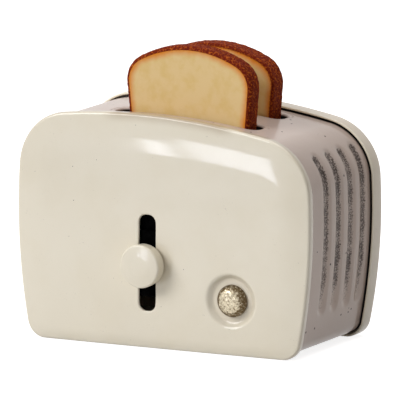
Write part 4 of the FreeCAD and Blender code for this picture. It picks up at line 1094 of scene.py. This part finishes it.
def metal_material(name, metal, tarnish, amount, scale, smoothest, metallic=1.0, relief=0.25,
                   guide_name=None, specular=0.5):
    """Plated, black or bare metal from the handled metal group. Where the piece's guide attribute
    is high, more of it takes the dark tarnish colour."""
    made, tree, shader = fresh_material(name, {"Metallic": metallic, "IOR": 1.5,
                                               "Specular IOR Level": specular})
    group = place_group(tree, "metal", "Metal", {
        "Metal": opaque(metal), "Tarnish": opaque(tarnish), "Amount": amount, "Scale": scale,
        "Smoothest": smoothest})
    if guide_name:
        more = ramp(tree, attribute(tree, guide_name), "Guide", 0.60, 0.80, amount, 0.60)
        wire(tree, (more, group.inputs["Amount"]))
    wire(tree, (group.outputs["Color"], shader.inputs["Base Color"]),
         (group.outputs["Roughness"], shader.inputs["Roughness"]))
    bump(tree, group.outputs["Height"], shader.inputs["Normal"], relief, 0.0001)
    return made


def bread_material(name, finishes):
    """Painted toy bread: satin crumb, and a crust that is a little duller."""
    made, tree, shader = fresh_material(name, {"IOR": 1.45, "Specular IOR Level": 0.03})
    group = place_group(tree, "bread", "Bread", {
        "Crumb": opaque(finishes.crumb), "Toasted": opaque(finishes.toasted),
        "Crust": opaque(finishes.crust), "Crust Light": opaque(finishes.crust_light)})
    wire(tree, (attribute(tree, "rim"), group.inputs["Rim Distance"]))
    rough = figure(tree, "MULTIPLY_ADD", "Crust Is Duller", group.outputs["Crust Mask"], 0.22, 0.36)
    wire(tree, (group.outputs["Color"], shader.inputs["Base Color"]),
         (rough, shader.inputs["Roughness"]))
    bump(tree, group.outputs["Height"], shader.inputs["Normal"], 0.55, 0.00025)
    return made


MATERIALS = {}
# Near black of the painted shade between the parts and down the slots' lips.
PAINTED_GAP_SHADE = (0.004, 0.003, 0.003, 1.0)


def build_materials(finishes):
    """Make each finish once."""
    build_groups()
    tarnish = finishes.tarnish
    MATERIALS.update(
        # The front dish is tinted with painted shade and toast reflection, the rear dish with a painted
        # rim highlight.
        dish=enamel_material("enamel_dish", finishes, finishes.enamel, "pressed", finishes.edge_wear,
                             wave=2.2, tint=finishes.shade_and_toast_reflection),
        band=enamel_material("enamel_band", finishes, finishes.band_enamel, "groove",
                             finishes.groove_patina, 0.05, 0.9, 0.8, 1.3, 0.2, 0.15, gap_shade=True),
        rear=enamel_material("enamel_rear", finishes, finishes.rear_enamel, "pressed",
                             finishes.edge_wear, lacquer=0.25, gloss=0.25, tint=finishes.rim_highlight),
        knob=enamel_material("enamel_knob", finishes, finishes.enamel, specks=0.2, wave=0.4,
                             lacquer=0.35),
        rivet=metal_material("bare_rivet", finishes.rivet, tarnish, 0.22, 2200.0, 0.26, relief=0.9,
                             guide_name="outer"),
        plated=metal_material("plated_steel", (0.62, 0.61, 0.58), tarnish, 0.2, 700.0, 0.2),
        # Inner parts: black steel, made darker and without gloss as painted shade, so the slots look
        # black inside.
        black=metal_material("black_steel", (0.003, 0.003, 0.003), (0.001, 0.001, 0.001), 0.4, 500.0,
                             0.6, metallic=0.0, specular=0.0),
        spring=metal_material("spring_steel", (0.42, 0.43, 0.46), (0.10, 0.07, 0.05), 0.15, 800.0,
                              0.25),
        bread=bread_material("toasted_bread", finishes),
    )


CAD_FINISH = {
    "plated": ("dial_washer", "lever_stem", "stem_washer", "stem_nut", "tie_post_lower_left",
               "tie_post_lower_right", "tie_post_upper_left", "tie_post_upper_right", "rear_screws",
               "base_screws"),
    # The black finish also stands for painted shade inside the slots.
    "black": ("guide_rail_left", "guide_rail_right", "slide_plate", "lift_carriage"),
    "spring": ("friction_spring",),
}


def dress(piece, material, body, node):
    """Give a new piece its finish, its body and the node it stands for."""
    piece.data.materials.append(MATERIALS[material])
    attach(piece, body)
    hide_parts(node)


def refinish(node, material):
    """Give one of the solid model's parts, which keeps its shape, a finish."""
    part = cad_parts[node]
    part.data.materials.clear()
    part.data.materials.append(MATERIALS[material])


def round_place(low, high):
    """Middle across and up, and radius, of a round part from its box."""
    return ((low.x + high.x) / 2, (low.z + high.z) / 2), (high.x - low.x) / 2


def keep_only(piece):
    """Make one object the active and only selected one."""
    for other in bpy.context.selected_objects:
        other.select_set(False)
    piece.select_set(True)
    bpy.context.view_layer.objects.active = piece


def cut(piece, tool):
    """Cut a tool's solid out of a piece and remove the tool."""
    cutter = piece.modifiers.new("Slot", "BOOLEAN")
    cutter.operation = "DIFFERENCE"
    cutter.solver = "MANIFOLD"
    cutter.object = tool
    keep_only(piece)
    before = len(piece.data.polygons)
    bpy.ops.object.modifier_apply(modifier=cutter.name)
    if len(piece.data.polygons) == before:
        raise RuntimeError("the bread slot was not cut")
    bpy.data.objects.remove(tool)


# Operators

class TOASTER_OT_finishes(bpy.types.Operator):
    """Make the node groups and the finishes, and give the solid model's inner parts theirs."""

    bl_idname = "toaster.finishes"
    bl_label = "Finishes"

    def execute(self, context):
        build_materials(context.scene.toaster_finishes)
        for material, names in CAD_FINISH.items():
            for name in names:
                refinish(name, material)
        return {"FINISHED"}


class TOASTER_OT_front_dish(bpy.types.Operator):
    """Press the front dish with its lever slot and dimple."""

    bl_idname = "toaster.front_dish"
    bl_label = "Front Dish"

    def execute(self, context):
        scene = context.scene
        vertices, quads, layers = front_dish_surface(scene.toaster_case, scene.toaster_pressing)
        piece = make_mesh("front_dish", vertices, quads, None, layers)
        dress(piece, "dish", "shell", "front_panel")
        return {"FINISHED"}


class TOASTER_OT_rear_dish(bpy.types.Operator):
    """Press the deeper rear dish with flat seats for its screws."""

    bl_idname = "toaster.rear_dish"
    bl_label = "Rear Dish"

    def execute(self, context):
        low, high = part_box("rear_screws")
        places = [(x, z) for x in (low.x + SCREW_INSET, high.x - SCREW_INSET)
                  for z in (low.z + SCREW_INSET, high.z - SCREW_INSET)]
        piece = make_mesh("rear_dish", *rear_dish_surface(context.scene.toaster_case, places))
        dress(piece, "rear", "shell", "rear_panel")
        return {"FINISHED"}


class TOASTER_OT_band(bpy.types.Operator):
    """Bend the grooved band, cut its bread slots and turn their lips down."""

    bl_idname = "toaster.band"
    bl_label = "Band"

    def execute(self, context):
        case, press = context.scene.toaster_case, context.scene.toaster_pressing
        vertices, quads, layers = band_surface(case, press)
        piece = make_mesh("case_band", vertices, quads, None, layers)
        slots = ((press.front_slot_x, press.front_slot_y), (press.rear_slot_x, press.rear_slot_y))
        for index, middle in enumerate(slots):
            cut(piece, slot_tool("slot_tool_%d" % index, press, middle, case.height * 0.8,
                                 case.height * 1.1))
        lips = [make_mesh("lip_%d" % index, *lip_surface(case, press, middle))
                for index, middle in enumerate(slots)]
        keep_only(piece)
        for lip in lips:
            lip.select_set(True)
        bpy.ops.object.join()
        piece.data.materials.clear()
        dress(piece, "band", "shell", "body_band")
        return {"FINISHED"}


class TOASTER_OT_lever(bpy.types.Operator):
    """Turn the round lever knob."""

    bl_idname = "toaster.lever"
    bl_label = "Lever Knob"

    def execute(self, context):
        middle, radius = round_place(KNOB_LOW, KNOB_HIGH)
        front, back = KNOB_LOW.y, KNOB_HIGH.y
        neck, waist = radius * 0.65, back - 0.00025
        corners = [(0.0, front), (radius * 0.45, front + 0.00003), (radius, front + 0.00022),
                   (radius - 0.0001, waist), (neck, waist), (neck, back), (0.0, back)]
        profile = rounded_profile(corners, (0.004, 0.0004, 0.00035, 0.0001, 0.00008), 12)
        vertices, quads, triangles = turned_surface(profile, middle, 128)
        piece = make_mesh("knob_button", vertices, quads, triangles)
        dress(piece, "knob", "lever", "lever_knob")
        return {"FINISHED"}


class TOASTER_OT_dial(bpy.types.Operator):
    """Turn the dial rivet, with the hammered dents in its head."""

    bl_idname = "toaster.dial"
    bl_label = "Dial Rivet"

    def execute(self, context):
        middle, radius = round_place(RIVET_LOW, RIVET_HIGH)
        front, back = RIVET_LOW.y, RIVET_HIGH.y
        seat, clinch_start = front + 0.0018, back - 0.0005
        shank, clinch = 0.0012, 0.0018
        corners = [(0.0, front), (radius * 0.60, front + 0.00012), (radius * 0.86, front + 0.00062),
                   (radius, front + 0.00135), (radius, seat), (shank, seat), (shank, clinch_start),
                   (clinch, clinch_start), (clinch, back), (0.0, back)]
        profile = rounded_profile(corners, (0.002, 0.0006, 0.0006, 0.0001, 0, 0, 0, 0.0001), 10)

        def dents(spread, angle):
            """Two crossed waves and a finer one, less towards the rim and none beyond it."""
            x, z = spread * np.cos(angle) / MM, spread * np.sin(angle) / MM
            broad = np.sin(x * 2.3 + 0.7 * z) * np.sin(z * 2.9 - 0.4 * x)
            rough = broad + 0.5 * np.sin(x * 5.3 - z * 4.1)
            return DENT_DEPTH * rough * (spread < radius * 0.8) * (1 - (spread / radius) ** 2)

        vertices, quads, triangles = turned_surface(profile, middle, 112, dents)
        vertices[:, 1] = np.maximum(vertices[:, 1], front)
        away = distance(vertices[:, (0, 2)], middle) / radius
        # The outer ring and the wall of the head take more of the dark colour than the middle.
        outer = np.where(vertices[:, 1] > front + 0.0009, 1.0, away)
        piece = make_mesh("dial_stud", vertices, quads, triangles, {"outer": outer})
        dress(piece, "rivet", "shell", "dial_rivet")
        return {"FINISHED"}


class TOASTER_OT_base(bpy.types.Operator):
    """Give the base plate's solid the knob's plain enamel."""

    bl_idname = "toaster.base"
    bl_label = "Base Plate"

    def execute(self, context):
        refinish("base_plate", "knob")
        return {"FINISHED"}


class TOASTER_OT_bread(bpy.types.Operator):
    """Shape the two toy slices."""

    bl_idname = "toaster.bread"
    bl_label = "Bread Slices"

    def execute(self, context):
        bread = context.scene.toaster_bread
        for name, body, edge in (("bread_slice_front", "bread_front", bread.front_edge),
                                 ("bread_slice_rear", "bread_rear", bread.rear_edge)):
            title = name.replace("bread_slice", "toast")
            piece = make_mesh(title, *slice_surface(bread, *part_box(name), edge))
            dress(piece, "bread", body, name)
        return {"FINISHED"}


class TOASTER_OT_stage(bpy.types.Operator):
    """Set the camera, the floor, the lamps and the world."""

    bl_idname = "toaster.stage"
    bl_label = "Stage"

    def execute(self, context):
        scene = context.scene
        set_camera(scene, scene.toaster_stage)
        set_floor()
        set_lamps(scene)
        set_world(scene)
        scene.view_settings.view_transform = "Standard"
        return {"FINISHED"}


def set_camera(scene, stage):
    """Camera on the line through the aimed point, back along the view direction."""
    turn, lift = stage.azimuth, stage.elevation
    back = Vector((math.sin(turn) * math.cos(lift), -math.cos(turn) * math.cos(lift), math.sin(lift)))
    right = Vector((math.cos(turn), math.sin(turn), 0.0))
    up = back.cross(right)
    level, upright = math.cos(stage.roll), math.sin(stage.roll)
    right, up = right * level + up * upright, up * level - right * upright
    data = bpy.data.cameras.new("camera")
    data.lens, data.sensor_width = stage.lens, 36.0
    data.clip_start, data.clip_end = 0.05, 20.0
    camera = bpy.data.objects.new("camera", data)
    scene.collection.objects.link(camera)
    aim = Vector((0.0, FRONT_LOW.y, AIM_HEIGHT))
    location = aim + back * stage.distance + right * stage.aim_right + up * stage.aim_up
    turned = Matrix((right, up, back)).transposed().to_4x4()
    camera.matrix_world = Matrix.Translation(location) @ turned
    scene.camera = camera


def seen_plainly(tree):
    """One for rays of the camera, of gloss and of glass, and nought for light and shadow."""
    path = put(tree, "ShaderNodeLightPath", "Seen By").outputs
    seen = figure(tree, "MAXIMUM", "Camera Or Gloss", path["Is Camera Ray"], path["Is Glossy Ray"])
    return figure(tree, "MAXIMUM", "Or Glass", seen, path["Is Transmission Ray"])


def stage_surface(tree, shader, shown):
    """Show a surface to the camera, to gloss and to glass nearly white, and keep its shadow."""
    glow = put(tree, "ShaderNodeEmission", "Pale", {"Color": WHITE, "Strength": shown})
    both = put(tree, "ShaderNodeAddShader", "Lit And Pale")
    pick = put(tree, "ShaderNodeMixShader", "Pick")
    wire(tree, (shader.outputs["BSDF"], both.inputs[0]), (glow.outputs["Emission"], both.inputs[1]),
         (seen_plainly(tree), pick.inputs["Fac"]), (shader.outputs["BSDF"], pick.inputs[1]),
         (both.outputs["Shader"], pick.inputs[2]),
         (pick.outputs["Shader"], tree.nodes["Material Output"].inputs["Surface"]))


def set_floor():
    """A flat pale table top: an even grid across and back, which ends in front of the toaster so
    that the window lamps stay clear."""
    across, back = np.linspace(-FLOOR_SIDE, FLOOR_SIDE, 24), np.linspace(FLOOR_FRONT, FLOOR_BACK, 60)
    x, y = np.meshgrid(across, back)
    vertices = np.stack((x, y, np.full(x.shape, FLOOR_LEVEL)), -1).reshape(-1, 3)
    rows, columns = x.shape
    start = np.arange(rows - 1)[:, None] * columns + np.arange(columns - 1)
    quads = np.stack((start, start + 1, start + columns + 1, start + columns), -1).reshape(-1, 4)
    floor = make_mesh("floor", vertices, quads)
    material, tree, shader = fresh_material("pale_table", {"Base Color": (0.55, 0.55, 0.55, 1.0),
                                                           "Roughness": 0.75})
    stage_surface(tree, shader, 0.82)
    floor.data.materials.append(material)


def lamp(scene, name, place_at, aim, size, power, tint):
    """One rectangular lamp that looks at a point and that the camera doesn't see."""
    data = bpy.data.lights.new(name, "AREA")
    data.shape = "RECTANGLE"
    data.size, data.size_y = size
    data.energy, data.color = power, tint
    made = bpy.data.objects.new(name, data)
    scene.collection.objects.link(made)
    made.location = Vector(place_at)
    made.rotation_euler = (Vector(place_at) - Vector(aim)).to_track_quat("Z", "Y").to_euler()
    made.visible_camera = False


def set_lamps(scene):
    """A large key from the front left, a weaker fill from above, and a cool window low on the left
    whose two panes make the highlight on the front dish."""
    centre, plain, cool = (0.0, 0.0, AIM_HEIGHT), (1.0, 1.0, 1.0), (0.93, 0.98, 1.12)
    lamp(scene, "key", (-0.75, -1.05, 0.80), centre, (0.9, 0.7), 15.4, plain)
    lamp(scene, "overhead", (0.1, 0.15, 1.2), centre, (1.0, 0.8), 8.0, plain)
    lamp(scene, "window_pane", (-0.289, -0.647, -0.012), (0.012, -0.01355, 0.033), (0.077, 0.086),
         0.20, cool)
    lamp(scene, "window_edge", (-0.336, -0.619, -0.022), (0.001, -0.01355, 0.0355), (0.011, 0.066),
         0.038, cool)


def set_world(scene):
    """Plain pale world; the camera, gloss and glass see it white."""
    world = bpy.data.worlds.new("pale_world")
    world.use_nodes = True
    tree = world.node_tree
    light = tree.nodes["Background"]
    light.inputs["Color"].default_value = WHITE
    light.inputs["Strength"].default_value = 0.17
    shown = put(tree, "ShaderNodeBackground", "Shown", {"Color": WHITE, "Strength": 1.0})
    pick = put(tree, "ShaderNodeMixShader", "Pick")
    wire(tree, (seen_plainly(tree), pick.inputs["Fac"]), (light.outputs["Background"], pick.inputs[1]),
         (shown.outputs["Background"], pick.inputs[2]),
         (pick.outputs["Shader"], tree.nodes["World Output"].inputs["Surface"]))
    scene.world = world


class TOASTER_PT_sidebar(bpy.types.Panel):
    """Lists the pieces and the stage in the sidebar."""

    bl_idname = "TOASTER_PT_sidebar"
    bl_label = "Toy Toaster"
    bl_space_type = "VIEW_3D"
    bl_region_type = "UI"
    bl_category = "Toaster"

    def draw(self, context):
        column = self.layout.column(align=True)
        for operator in OPERATORS:
            column.operator(operator.bl_idname)


GROUPS_OF_SIZES = (
    ("toaster_case", CaseSizes),
    ("toaster_pressing", PressingSizes),
    ("toaster_bread", BreadSizes),
    ("toaster_finishes", Finishes),
    ("toaster_stage", StageSettings),
)
OPERATORS = (
    TOASTER_OT_finishes,
    TOASTER_OT_front_dish,
    TOASTER_OT_rear_dish,
    TOASTER_OT_band,
    TOASTER_OT_lever,
    TOASTER_OT_dial,
    TOASTER_OT_base,
    TOASTER_OT_bread,
    TOASTER_OT_stage,
)


def register():
    """Register the sizes, the operators and the panel."""
    for name, group in GROUPS_OF_SIZES:
        bpy.utils.register_class(group)
        setattr(bpy.types.Scene, name, bpy.props.PointerProperty(type=group))
    for operator in OPERATORS:
        bpy.utils.register_class(operator)
    bpy.utils.register_class(TOASTER_PT_sidebar)


def unregister():
    """Take everything that register made away, in the other order."""
    bpy.utils.unregister_class(TOASTER_PT_sidebar)
    for operator in reversed(OPERATORS):
        bpy.utils.unregister_class(operator)
    for name, group in reversed(GROUPS_OF_SIZES):
        delattr(bpy.types.Scene, name)
        bpy.utils.unregister_class(group)


def main():
    register()
    bpy.ops.toaster.finishes()
    bpy.ops.toaster.front_dish()
    bpy.ops.toaster.rear_dish()
    bpy.ops.toaster.band()
    bpy.ops.toaster.lever()
    bpy.ops.toaster.dial()
    bpy.ops.toaster.base()
    bpy.ops.toaster.bread()
    bpy.ops.toaster.stage()


if __name__ == "__main__":
    main()
